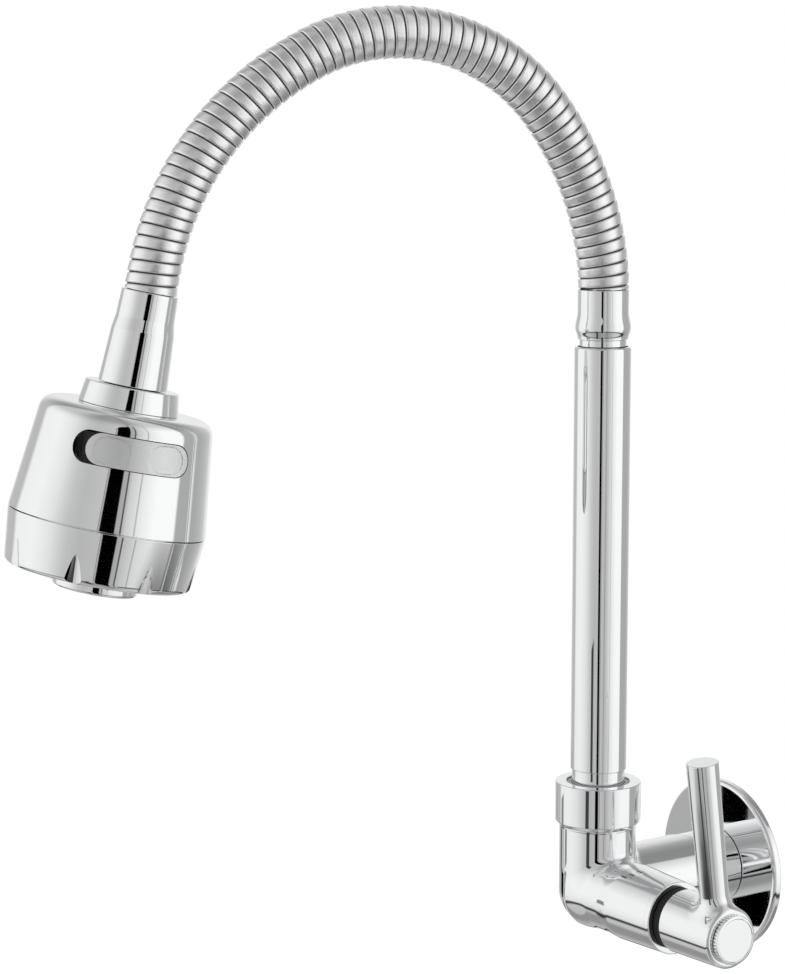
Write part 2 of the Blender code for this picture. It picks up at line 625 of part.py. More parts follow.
def make_riser(spout):
    bore = SPIGOT_RADIUS + GAP
    plug = RISER_RADIUS - RISER_WALL - GAP
    half = SNAP_RING_THICKNESS / 2.0 + GAP
    snap_floor = bore - SNAP_RING_REACH - GAP
    step = RISER_START - GAP
    turned("riser_spigot", [
        (SPIGOT_BORE, SOCKET_FLOOR + GAP), (SPIGOT_RADIUS, SOCKET_FLOOR + GAP),
        *grooved(SPIGOT_RADIUS, SPIGOT_RING_PLACES, bore),
        (SPIGOT_RADIUS, SNAP_RING_PLACE - half), (snap_floor, SNAP_RING_PLACE - half),
        (snap_floor, SNAP_RING_PLACE + half), (SPIGOT_RADIUS, SNAP_RING_PLACE + half),
        (SPIGOT_RADIUS, step), (plug, step), (plug, step + SPIGOT_PLUG),
        (SPIGOT_BORE, step + SPIGOT_PLUG),
    ], "chrome", spout)
    for number, place in enumerate(SPIGOT_RING_PLACES, start=1):
        o_ring(f"spigot_o_ring_{number}", bore, place, "rubber", spout)
    turned("riser_tube", [
        (RISER_RADIUS - RISER_WALL, RISER_START), (RISER_RADIUS, RISER_START, RISER_WALL / 3.0),
        (RISER_RADIUS, RISER_END, RISER_WALL * 0.6), (RISER_RADIUS - RISER_WALL, RISER_END),
    ], "chrome", spout, Matrix(), SIDES_BODY)

    groove_low = RISER_END + GAP
    groove_high = groove_low + FERRULE_GROOVE_WIDTH
    seat = FERRULE_END - HOSE_LOWER_TAIL - GAP
    mouth = HOSE_TAIL_RADIUS + GAP
    bulge = FERRULE_BULGE_RADIUS - FERRULE_RADIUS
    turned("riser_ferrule", [
        (FERRULE_BORE, groove_low - FERRULE_PLUG), (plug, groove_low - FERRULE_PLUG),
        (plug, groove_low), (FERRULE_GROOVE_RADIUS, groove_low),
        (FERRULE_GROOVE_RADIUS, groove_high),
        (FERRULE_BULGE_RADIUS - bulge / 2.0, groove_high),
        (FERRULE_BULGE_RADIUS, groove_high + bulge * 2.0),
        (FERRULE_BULGE_RADIUS, groove_high + bulge * 5.0),
        (FERRULE_RADIUS, groove_high + bulge * 10.0),
        (FERRULE_RADIUS, FERRULE_END, MOUTH_GAP),
        (mouth, FERRULE_END), (mouth, seat), (FERRULE_BORE, seat),
    ], "chrome", spout)


def hose_runs():
    """The gooseneck's middle line: straight, three arcs and straight, as length and radius."""
    return [
        (HOSE_FIRST_RUN, None),
        (HOSE_RISE_RADIUS * HOSE_RISE_ANGLE, HOSE_RISE_RADIUS),
        (HOSE_CREST_RADIUS * HOSE_CREST_ANGLE, HOSE_CREST_RADIUS),
        (HOSE_FALL_RADIUS * HOSE_FALL_ANGLE, HOSE_FALL_RADIUS),
        (HOSE_LAST_RUN, None),
    ]


def hose_length():
    return sum(length for length, radius in hose_runs())


def hose_point(distance):
    """Position and heading in the spout's own X-Z plane at a distance along the hose."""
    x, z, heading = 0.0, FERRULE_END, 0.0   # heading 0 is up, pi is down
    runs = hose_runs()
    for index, (length, radius) in enumerate(runs):
        here = distance if distance < length or index == len(runs) - 1 else length
        if distance < 0.0:
            here = distance
        if radius is None:
            x += here * math.sin(heading)
            z += here * math.cos(heading)
        else:
            turned_by = here / radius
            x += radius * (math.cos(heading) - math.cos(heading + turned_by))
            z += radius * (math.sin(heading + turned_by) - math.sin(heading))
            heading += turned_by
        distance -= here
        if distance <= 0.0:
            break
    return Vector((x, 0.0, z)), heading


def hose_frame(distance):
    """A frame on the hose: local Z along it, local X to the outside of the bend."""
    place, heading = hose_point(distance)
    along = Vector((math.sin(heading), 0.0, math.cos(heading)))
    outward = Vector((math.cos(heading), 0.0, -math.sin(heading)))
    across = along.cross(outward)
    turn = Matrix((outward, across, along)).transposed().to_4x4()
    return Matrix.Translation(place) @ turn


def ball_arc(radius, low, high):
    """Points (along, radius) on a ball about a joint, from one end to the other."""
    start, end = math.asin(low / radius), math.asin(high / radius)
    angles = (start + (end - start) * step / BALL_STEPS for step in range(BALL_STEPS + 1))
    return [(radius * math.sin(a), radius * math.cos(a)) for a in angles]


def rib_pitch():
    return hose_length() / (HOSE_RIBS_PER_SECTION * HOSE_SECTIONS)


def section_outline(index):
    """Closed outline of one gooseneck section as (distance along the hose, radius)."""
    pitch = rib_pitch()
    start = index * HOSE_RIBS_PER_SECTION * pitch
    end = start + HOSE_RIBS_PER_SECTION * pitch
    valley = HOSE_RADIUS - HOSE_VALLEY
    cup_radius = BALL_RADIUS + BALL_GAP
    cup_floor = math.sqrt(cup_radius ** 2 - HOSE_BORE ** 2)
    first, last = index == 0, index == HOSE_SECTIONS - 1

    if first:
        low = start + GAP
        outer = [(start - HOSE_LOWER_TAIL, HOSE_TAIL_RADIUS), (low, HOSE_TAIL_RADIUS),
                 (low, valley)]
    else:
        low = start - CUP_LIP
        outer = [(low, HOSE_RADIUS - HOSE_VALLEY / 2.0)]
    for rib in range(1, HOSE_RIBS_PER_SECTION + last):
        high = end - GAP if rib == HOSE_RIBS_PER_SECTION else start + rib * pitch
        outer += [((low + high) / 2.0, HOSE_RADIUS), (high, valley)]
        low = high

    if last:
        outer += [(end - GAP, HOSE_TAIL_RADIUS), (end + HOSE_UPPER_TAIL, HOSE_TAIL_RADIUS)]
        bore_end = end + HOSE_UPPER_TAIL
    else:
        outer += [(end + along, radius)
                  for along, radius in ball_arc(BALL_RADIUS, -pitch, BALL_FRONT)]
        bore_end = end + BALL_FRONT
    bore_start = start - HOSE_LOWER_TAIL if first else start + cup_floor
    bore_steps = HOSE_RIBS_PER_SECTION // 2
    bore = [(bore_end + (bore_start - bore_end) * step / bore_steps, HOSE_BORE)
            for step in range(bore_steps + (1 if first else 0))]
    if not first:
        cup = ball_arc(cup_radius, -CUP_LIP, cup_floor)
        bore += [(start + along, radius) for along, radius in reversed(cup)]
    return outer + bore


def make_section(index, joint, joint_frame):
    """Sweep a section's outline along the hose and close it into one solid."""
    joints = hose_joint_places()
    bm = bmesh.new()
    rings = []
    to_joint = joint_frame.inverted()
    for distance, radius in section_outline(index):
        station = joint_frame_for(distance, joints)
        ring = []
        for side in range(SIDES_HOSE):
            angle = math.tau * side / SIDES_HOSE
            local = Vector((radius * math.cos(angle), radius * math.sin(angle), 0.0))
            ring.append(bm.verts.new(to_joint @ (station @ local)))
        rings.append(ring)
    for ring, following in zip(rings, rings[1:] + rings[:1]):
        for side in range(SIDES_HOSE):
            other = (side + 1) % SIDES_HOSE
            bm.faces.new((ring[side], ring[other], following[other], following[side]))
    object_from(bm, f"gooseneck_{index + 1}", "steel", joint)


def hose_joint_places():
    step = hose_length() / HOSE_SECTIONS
    return [step * number for number in range(1, HOSE_SECTIONS)]


def joint_frame_for(distance, joints):
    """The hose frame, held straight within a ball's reach of each joint."""
    reach = BALL_RADIUS + BALL_GAP
    for place in joints:
        if abs(distance - place) < reach:
            return hose_frame(place) @ Matrix.Translation((0, 0, distance - place))
    return hose_frame(distance)


def make_gooseneck(spout):
    """The ribbed hose in sections, each on the ball end of the one before it."""
    parent, parent_frame = spout, Matrix()
    make_section(0, spout, Matrix())
    for number, place in enumerate(hose_joint_places(), start=1):
        here = hose_frame(place)
        joint = frame(f"bend_frame_{number}", parent, parent_frame.inverted() @ here)
        make_section(number, joint, here)
        parent, parent_frame = joint, here
    # the head's frame: local Z up its axis towards the hose, local X outward
    end = hose_frame(hose_length())
    flipped = end @ Matrix.Rotation(math.pi, 4, 'Y')
    return frame("head_frame", parent, parent_frame.inverted() @ flipped)


def down(points):
    """Head outlines are written as depth below the hose end; the head's Z points up."""
    return [(point[0], -point[1], *point[2:]) for point in points]


# Depths down the head's axis that several pieces share
COLLAR_TOP = HEAD_FERRULE_LENGTH + GAP
COLLAR_FOOT = COLLAR_TOP + HEAD_COLLAR_HEIGHT
HOUSING_TOP = COLLAR_FOOT + GAP
HOUSING_FOOT = HOUSING_TOP + HOUSING_HEIGHT
BEZEL_TOP = HOUSING_FOOT + GAP
BEZEL_FOOT = BEZEL_TOP + BEZEL_HEIGHT
PLATE_FOOT = BEZEL_FOOT - BEZEL_LEDGE - GAP
PLATE_TOP = PLATE_FOOT - PLATE_THICKNESS
BLOCK_FOOT = PLATE_TOP - GAP
OUTLET_TOP = BLOCK_FOOT + GAP
OUTLET_FOOT = BEZEL_FOOT + OUTLET_REACH
SPIGOT_FOOT = HEAD_FERRULE_LENGTH + HEAD_SPIGOT_LENGTH
SELECTOR_MIDDLE = HOUSING_TOP + SELECTOR_DROP


def housing_radius(depth):
    """Outer radius of the housing's conical wall at a depth."""
    top = HOUSING_TOP + HOUSING_SHOULDER
    share = (depth - top) / (HOUSING_FOOT - top)
    return HOUSING_TOP_RADIUS + (HOUSING_SEAM_RADIUS - HOUSING_TOP_RADIUS) * share


def curved_prism(name, half_angle, half_height, inner, outer, middle_angle, finish_name, parent,
                 end_steps=8):
    """An obround plate wrapped round the head's axis: inner and outer give radius by depth."""
    bm = bmesh.new()
    arc_radius = housing_radius(SELECTOR_MIDDLE)
    end_angle = half_height / arc_radius
    run = half_angle - end_angle
    outline = []
    for side in (1.0, -1.0):
        for step in range(end_steps + 1):
            sweep = math.pi * (step / end_steps - 0.5)
            outline.append((side * (run + end_angle * math.cos(sweep)),
                            side * half_height * math.sin(sweep)))
        for step in range(1, SLOT_EDGE_STEPS):
            along = step / (SLOT_EDGE_STEPS / 2.0)
            outline.append((side * run * (1.0 - along), side * half_height))
    rings = []
    for radius_at in (inner, outer):
        ring = []
        for angle, rise in outline:
            depth = SELECTOR_MIDDLE - rise
            radius = radius_at(depth)
            turn = middle_angle + angle
            ring.append(bm.verts.new((radius * math.cos(turn), radius * math.sin(turn), -depth)))
        rings.append(ring)
    count = len(outline)
    for index in range(count):
        other = (index + 1) % count
        bm.faces.new((rings[0][index], rings[0][other], rings[1][other], rings[1][index]))
    strip_cap(bm, rings[0], end_steps)
    strip_cap(bm, rings[1], end_steps)
    return object_from(bm, name, finish_name, parent)


def strip_cap(bm, ring, end_steps):
    """Close an obround ring with strips that run across it, so that it stays curved."""
    count = len(ring)
    half = count // 2
    right = ring[:end_steps + 1]
    left = ring[half:half + end_steps + 1]
    top = ring[end_steps + 1:half]
    bottom = ring[half + end_steps + 1:]
    for end in (right, left):
        low, high = 0, len(end) - 1
        while high - low > 1:
            corners = [end[low], end[low + 1], end[high - 1], end[high]]
            unique = list(dict.fromkeys(corners))
            bm.faces.new(unique)
            low, high = low + 1, high - 1
    upper = [right[-1], *top, left[0]]
    lower = [right[0], *reversed(bottom), left[-1]]
    for index in range(len(upper) - 1):
        bm.faces.new((upper[index], upper[index + 1], lower[index + 1], lower[index]))


def make_head_fittings(head):
    mouth = HOSE_TAIL_RADIUS + GAP
    seat = HOSE_UPPER_TAIL + GAP
    turned("head_ferrule", down([
        (mouth, 0.0), (HEAD_FERRULE_TOP_RADIUS, 0.0, MOUTH_GAP),
        (HEAD_FERRULE_TOP_RADIUS, HEAD_FERRULE_NECK_END),
        (HEAD_FERRULE_FLARE_RADIUS, HEAD_FERRULE_FLARE_END),
        (HEAD_FERRULE_FOOT_RADIUS, HEAD_FERRULE_LENGTH),
        (HEAD_SPIGOT_RADIUS, HEAD_FERRULE_LENGTH), (HEAD_SPIGOT_RADIUS, SPIGOT_FOOT),
        (HEAD_WATER_BORE, SPIGOT_FOOT), (HEAD_WATER_BORE, seat), (mouth, seat),
    ]), "chrome", head)
    hole = HEAD_SPIGOT_RADIUS + GAP
    turned("head_collar", down([
        (hole, COLLAR_TOP), (HEAD_COLLAR_TOP_RADIUS, COLLAR_TOP, MOUTH_GAP),
        (HEAD_COLLAR_FOOT_RADIUS, COLLAR_FOOT), (hole, COLLAR_FOOT),
    ]), "chrome", head, Matrix(), SIDES_WIDE)


def make_housing(head):
    hole = HEAD_SPIGOT_RADIUS + GAP
    shoulder = HOUSING_TOP + HOUSING_SHOULDER
    roof = HOUSING_TOP + HOUSING_WALL
    housing = turned("head_housing", down([
        (hole, HOUSING_TOP), (HOUSING_TOP_RADIUS - HOUSING_SHOULDER / 8.0, HOUSING_TOP,
                              HOUSING_SHOULDER * 0.8),
        (HOUSING_TOP_RADIUS, shoulder), (HOUSING_SEAM_RADIUS, HOUSING_FOOT),
        (HOUSING_SEAM_RADIUS - HOUSING_WALL, HOUSING_FOOT),
        (HOUSING_TOP_RADIUS - HOUSING_WALL, shoulder),
        (HOUSING_TOP_RADIUS - HOUSING_WALL - HOUSING_SHOULDER / 8.0, roof,
         HOUSING_SHOULDER * 0.6),
        (hole, roof),
    ]), "chrome", head, Matrix(), SIDES_WIDE)
    slot = curved_prism("slot_tool", SLOT_HALF_ANGLE, SLOT_HEIGHT / 2.0,
                        lambda depth: housing_radius(depth) - HOUSING_WALL * 2.0,
                        lambda depth: housing_radius(depth) + HOUSING_WALL,
                        math.pi / 2, "chrome", head)
    cut_or_join(housing, slot)


def make_selector(head):
    """Two-pad button on a curved carrier behind the housing's slot, at the end of its travel."""
    middle = math.pi / 2 + SLOT_HALF_ANGLE - BUTTON_HALF_ANGLE - BUTTON_STOP_GAP
    half_height = SLOT_HEIGHT / 2.0 - GAP
    inner = CARRIER_RADIUS - CARRIER_WALL
    button = curved_prism("selector_button", BUTTON_HALF_ANGLE, half_height,
                          lambda depth: CARRIER_RADIUS - CARRIER_WALL / 2.0,
                          lambda depth: housing_radius(depth) + BUTTON_PROUD,
                          middle, "chrome", head)
    lap = CARRIER_LAP / CARRIER_RADIUS
    carrier = curved_prism("carrier_blank", BUTTON_HALF_ANGLE + lap, half_height + CARRIER_LAP,
                           lambda depth: inner, lambda depth: CARRIER_RADIUS,
                           middle, "chrome", head)
    cut_or_join(button, carrier, 'UNION')
    for side in (1.0, -1.0):
        angle = middle + side * DIVIDER_HALF_ANGLE
        reach = housing_radius(SELECTOR_MIDDLE) - DIVIDER_GROOVE
        start = Vector((math.cos(angle), math.sin(angle), 0.0)) * reach
        width = DIVIDER_GROOVE / 2.0
        out = HOUSING_WALL * 5.0
        groove = prism_bmesh([(0.0, -width), (out, -width), (out, width), (0.0, width)],
                             -SELECTOR_MIDDLE - SLOT_HEIGHT, -SELECTOR_MIDDLE + SLOT_HEIGHT)
        tool = object_from(groove, f"divider_tool_{int(side)}", "chrome", head,
                           Matrix.Translation(start) @ Matrix.Rotation(angle, 4, 'Z'))
        cut_or_join(button, tool)


def make_water_block(head):
    """The moulded block that takes the water to the middle outlet or to the spray plate."""
    washer_recess = SPIGOT_FOOT + GAP + SEAL_THICKNESS + GAP
    top = HOUSING_TOP + HOUSING_WALL + GAP
    flange_top = BLOCK_FOOT - BLOCK_FLANGE_THICKNESS
    tube = OUTLET_RADIUS - OUTLET_WALL - GAP
    tube_end = OUTLET_FOOT - AERATOR_HEIGHT - SEAL_THICKNESS - GAP * 3.0
    chamber = BLOCK_RADIUS / 2.0
    block = turned("water_block", down([
        (HEAD_SPIGOT_RADIUS, top), (BLOCK_NECK_RADIUS, top),
        (BLOCK_NECK_RADIUS, SELECTOR_MIDDLE - SLOT_HEIGHT / 2.0),
        (BLOCK_RADIUS, SELECTOR_MIDDLE - SLOT_HEIGHT / 2.0),
        (BLOCK_RADIUS, flange_top), (BEZEL_BORE - GAP, flange_top),
        (BEZEL_BORE - GAP, BLOCK_FOOT), (tube, BLOCK_FOOT), (tube, tube_end),
        (chamber, tube_end), (chamber, HOUSING_FOOT - BLOCK_RADIUS),
        (HEAD_WATER_BORE, HOUSING_FOOT - BLOCK_RADIUS - HEAD_WATER_BORE),
        (HEAD_WATER_BORE, washer_recess), (HEAD_SPIGOT_RADIUS, washer_recess),
    ]), "grey_plastic", head)
    boss_end = CARRIER_RADIUS - CARRIER_WALL - DETENT_BALL_RADIUS
    cut_or_join(block, tube_between("boss_blank", (0, chamber + HEAD_WATER_BORE, -SELECTOR_MIDDLE),
                                    (0, boss_end, -SELECTOR_MIDDLE), DETENT_BOSS_RADIUS, head),
                'UNION')
    ball_bore = DETENT_BALL_RADIUS + GAP
    cut_or_join(block, tube_between("ball_bore_tool",
                                    (0, boss_end - DETENT_BORE_DEPTH, -SELECTOR_MIDDLE),
                                    (0, boss_end + GAP, -SELECTOR_MIDDLE), ball_bore, head,
                                    SIDES_TINY))
    port_ring = BEZEL_BORE - BLOCK_PORT_INSET
    for number in range(BLOCK_PORTS):
        angle = math.tau * (number + 0.5) / BLOCK_PORTS
        x, y = port_ring * math.cos(angle), port_ring * math.sin(angle)
        cut_or_join(block, tube_between(f"port_tool_{number}", (x, y, -BLOCK_FOOT - GAP),
                                        (x, y, -flange_top + GAP), BLOCK_PORT_RADIUS, head,
                                        SIDES_TINY))
    turned("head_washer", down([
        (HEAD_WATER_BORE + GAP, SPIGOT_FOOT + GAP), (HEAD_SPIGOT_RADIUS - GAP, SPIGOT_FOOT + GAP),
        (HEAD_SPIGOT_RADIUS - GAP, SPIGOT_FOOT + GAP + SEAL_THICKNESS),
        (HEAD_WATER_BORE + GAP, SPIGOT_FOOT + GAP + SEAL_THICKNESS),
    ]), "rubber", head, Matrix(), SIDES_SMALL)
    make_detent(head, boss_end)


def make_detent(head, boss_end):
    """A sprung ball that clicks the selector at each end of its travel."""
    centre = boss_end - GAP
    steps = BALL_RINGS
    ball = [(DETENT_BALL_RADIUS * math.sin(math.pi * step / steps),
             -DETENT_BALL_RADIUS * math.cos(math.pi * step / steps)) for step in range(steps + 1)]
    middle = Matrix.Translation((0, centre, -SELECTOR_MIDDLE)) @ ALONG_Y
    turned("detent_ball", ball, "steel", head, middle, SIDES_TINY)
    coil_radius = DETENT_BALL_RADIUS - DETENT_WIRE_RADIUS
    length = DETENT_BORE_DEPTH - DETENT_BALL_RADIUS - DETENT_WIRE_RADIUS * 2.0 - GAP * 3.0
    per_turn = COIL_SIDES
    path = bpy.data.curves.new("detent_spring", 'CURVE')
    path.dimensions = '3D'
    path.bevel_depth = DETENT_WIRE_RADIUS
    path.bevel_resolution = 0
    path.use_fill_caps = True
    line = path.splines.new('POLY')
    line.points.add(DETENT_TURNS * per_turn)
    for number, point in enumerate(line.points):
        angle = math.tau * number / per_turn
        rise = length * number / (DETENT_TURNS * per_turn)
        point.co = (coil_radius * math.cos(angle), coil_radius * math.sin(angle), -rise, 1.0)
    pitch = length / DETENT_TURNS
    print(f"detent spring: least gap {1000 * (pitch - 2 * DETENT_WIRE_RADIUS):.2f} mm")
    path.materials.append(finish("steel"))
    start = centre - DETENT_BALL_RADIUS - DETENT_WIRE_RADIUS - GAP
    place_object("detent_spring", path, head,
                 Matrix.Translation((0, start, -SELECTOR_MIDDLE)) @ ALONG_Y)


def make_bezel(head):
    lip = HOUSING_SEAM_RADIUS - HOUSING_WALL - GAP - MOUTH_GAP
    ledge = BEZEL_FOOT - BEZEL_LEDGE
    bezel = turned("bezel", down([
        (lip, BEZEL_TOP - BEZEL_LIP_HEIGHT), (lip, BEZEL_TOP),
        (HOUSING_SEAM_RADIUS, BEZEL_TOP), (BEZEL_FOOT_RADIUS, BEZEL_FOOT, BEZEL_FOOT_EDGE),
        (BEZEL_BORE - BEZEL_LEDGE, BEZEL_FOOT), (BEZEL_BORE - BEZEL_LEDGE, ledge),
        (BEZEL_BORE, ledge), (BEZEL_BORE, BEZEL_TOP - BEZEL_LIP_HEIGHT),
    ]), "chrome", head, Matrix(), SIDES_WIDE)
    # each flute is the pointed track of a wedge that sinks in towards the foot
    apex_depth = BEZEL_FOOT - FLUTE_HEIGHT
    share = (apex_depth - BEZEL_TOP) / BEZEL_HEIGHT
    apex_radius = HOUSING_SEAM_RADIUS + (BEZEL_FOOT_RADIUS - HOUSING_SEAM_RADIUS) * share
    below = BEZEL_FOOT + FLUTE_HEIGHT / 4.0
    spread = (below - apex_depth) / FLUTE_HEIGHT
    fall = (apex_radius - BEZEL_FOOT_RADIUS + FLUTE_DEPTH) * spread
    for number in range(FLUTE_COUNT):
        bm = bmesh.new()
        apex = bm.verts.new((apex_radius, 0.0, -apex_depth))
        outside = apex_radius + FLUTE_DEPTH * 2.0
        tip = bm.verts.new((outside, 0.0, -apex_depth))
        half = FLUTE_HALF_WIDTH * spread
        foot = [(outside, half), (apex_radius - fall + FLUTE_DEPTH * spread, half),
                (apex_radius - fall, 0.0),
                (apex_radius - fall + FLUTE_DEPTH * spread, -half), (outside, -half)]
        ring = [bm.verts.new((x, y, -below)) for x, y in foot]
        bm.faces.new(ring)
        bm.faces.new((apex, ring[1], ring[2]))
        bm.faces.new((apex, ring[2], ring[3]))
        bm.faces.new((tip, ring[4], ring[0]))
        bm.faces.new((tip, ring[0], ring[1]))
        bm.faces.new((tip, ring[1], apex))
        bm.faces.new((tip, apex, ring[3]))
        bm.faces.new((tip, ring[3], ring[4]))
        turn = Matrix.Rotation(FLUTE_START + math.tau * number / FLUTE_COUNT, 4, 'Z')
        cut_or_join(bezel, object_from(bm, f"flute_tool_{number}", "chrome", head, turn))


def make_spray_plate(head):
    rim = BEZEL_BORE - GAP
    plate = turned("spray_plate", down([
        (PLATE_BORE, PLATE_TOP), (rim, PLATE_TOP), (rim, PLATE_FOOT), (PLATE_BORE, PLATE_FOOT),
    ]), "rubber", head)
    bm = bmesh.new()
    rings = (PLATE_BORE + NOZZLE_INNER_INSET, BEZEL_BORE - NOZZLE_OUTER_INSET)
    for ring_radius, count in zip(rings, NOZZLE_COUNTS):
        for number in range(count):
            angle = math.tau * number / count
            spot = Matrix.Translation((ring_radius * math.cos(angle),
                                       ring_radius * math.sin(angle), -PLATE_FOOT))
            bmesh.ops.create_cone(bm, cap_ends=True, segments=SIDES_O_RING, radius1=NOZZLE_RADIUS * 0.7,
                                  radius2=NOZZLE_RADIUS, depth=NOZZLE_HEIGHT * 2.0, matrix=spot)
    cut_or_join(plate, object_from(bm, "nozzle_blanks", "rubber", head), 'UNION')


def make_outlet(head):
    inner = OUTLET_RADIUS - OUTLET_WALL
    turned("outlet_ring", down([
        (inner, OUTLET_TOP), (OUTLET_RADIUS, OUTLET_TOP),
        (OUTLET_RADIUS, OUTLET_FOOT, MOUTH_GAP * 2.0), (inner - MOUTH_GAP, OUTLET_FOOT),
        (inner - MOUTH_GAP, OUTLET_FOOT - MOUTH_GAP * 2.0), (inner, OUTLET_FOOT - MOUTH_GAP * 3.0),
    ]), "chrome", head, Matrix(), SIDES_ROUND)
    low = OUTLET_FOOT - MOUTH_GAP * 3.0 - GAP
    top = OUTLET_FOOT - AERATOR_HEIGHT
    turned("aerator", down([
        (0.0, top), (inner - GAP, top), (inner - GAP, low),
        *aerator_face(inner - GAP - MOUTH_GAP, low), (0.0, low),
    ]), "white_plastic", head, Matrix(), SIDES_ROUND)
    washer_low = top - GAP
    washer_inner = inner - GAP - OUTLET_WALL
    turned("aerator_washer", down([
        (washer_inner, washer_low - SEAL_THICKNESS), (inner - GAP, washer_low - SEAL_THICKNESS),
        (inner - GAP, washer_low), (washer_inner, washer_low),
    ]), "rubber", head, Matrix(), SIDES_SMALL)


def aerator_face(radius, depth):
    """Ring slots in the aerator's lower face."""
    points = []
    pitch = radius / (AERATOR_SLOTS + 0.5)
    for number in range(AERATOR_SLOTS):
        outer = radius - number * pitch
        inner = outer - pitch / 2.0
        points += [(outer, depth), (outer, depth - MOUTH_GAP * 3.0),
                   (inner, depth - MOUTH_GAP * 3.0), (inner, depth)]
    return points


def main():
    clear_scene()
    root = frame("wall_frame")
    corner = frame("corner_frame", root, Matrix.Translation((0, -STAND_OFF, 0)))
    lever_frame = frame("lever_frame", corner)
    spout = frame("spout_frame", corner, Matrix.Rotation(-math.pi / 2 - SPOUT_YAW, 4, 'Z'))
    make_wall_flange(root)
    make_valve_body(corner)
    make_cartridge(corner, lever_frame)
    make_handle(corner, lever_frame)
    make_riser(spout)
    head = make_gooseneck(spout)
    make_head_fittings(head)
    make_housing(head)
    make_selector(head)
    make_water_block(head)
    make_bezel(head)
    make_spray_plate(head)
    make_outlet(head)
    print(f"gooseneck: {1000 * hose_length():.1f} mm of ribs, pitch {1000 * rib_pitch():.2f} mm")


main()
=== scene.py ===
import json
import math

import bmesh
import bpy
import numpy as np
from mathutils import Matrix, Vector


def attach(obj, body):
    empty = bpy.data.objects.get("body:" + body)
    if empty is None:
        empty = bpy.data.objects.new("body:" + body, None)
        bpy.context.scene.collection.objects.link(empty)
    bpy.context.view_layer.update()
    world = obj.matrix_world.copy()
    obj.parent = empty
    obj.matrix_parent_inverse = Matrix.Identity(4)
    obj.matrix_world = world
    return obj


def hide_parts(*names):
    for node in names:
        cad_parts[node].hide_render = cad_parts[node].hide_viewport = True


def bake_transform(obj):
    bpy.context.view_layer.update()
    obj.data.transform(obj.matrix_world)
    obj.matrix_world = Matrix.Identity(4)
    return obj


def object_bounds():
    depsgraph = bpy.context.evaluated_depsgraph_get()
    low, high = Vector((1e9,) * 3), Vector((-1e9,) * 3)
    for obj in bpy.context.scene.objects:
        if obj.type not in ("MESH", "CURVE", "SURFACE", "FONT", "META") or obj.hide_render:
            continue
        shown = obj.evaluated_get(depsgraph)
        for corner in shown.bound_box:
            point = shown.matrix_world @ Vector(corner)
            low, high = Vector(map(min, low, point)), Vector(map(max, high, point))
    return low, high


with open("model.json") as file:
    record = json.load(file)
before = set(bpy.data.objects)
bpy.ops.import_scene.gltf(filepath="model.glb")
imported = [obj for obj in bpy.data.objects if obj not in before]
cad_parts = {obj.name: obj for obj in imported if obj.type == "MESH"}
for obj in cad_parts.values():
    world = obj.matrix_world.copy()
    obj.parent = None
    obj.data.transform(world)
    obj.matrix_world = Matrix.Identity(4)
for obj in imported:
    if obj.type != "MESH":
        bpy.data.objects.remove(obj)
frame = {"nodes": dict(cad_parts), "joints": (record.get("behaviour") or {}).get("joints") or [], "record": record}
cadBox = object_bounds()
joints = {joint["name"]: joint for joint in frame["joints"]}
print("frame loaded,", len(frame["nodes"]), "nodes")


shot = {
    "place": (0.8218, -0.7147, 0.3079),
    "turn": (82.0, 0.0, 56.2),         # degrees
    "focalPixels": 2700.0,
    "photoHeight": 974,
    "sensor": 36.0,
}


def placeCamera():
    data = bpy.data.cameras.new("photoCamera")
    data.sensor_width = shot["sensor"]
    data.lens = shot["focalPixels"] * shot["sensor"] / shot["photoHeight"]
    camera = bpy.data.objects.new("photoCamera", data)
    camera.location = shot["place"]
    camera.rotation_euler = [math.radians(angle) for angle in shot["turn"]]
    bpy.context.scene.collection.objects.link(camera)
    bpy.context.scene.camera = camera


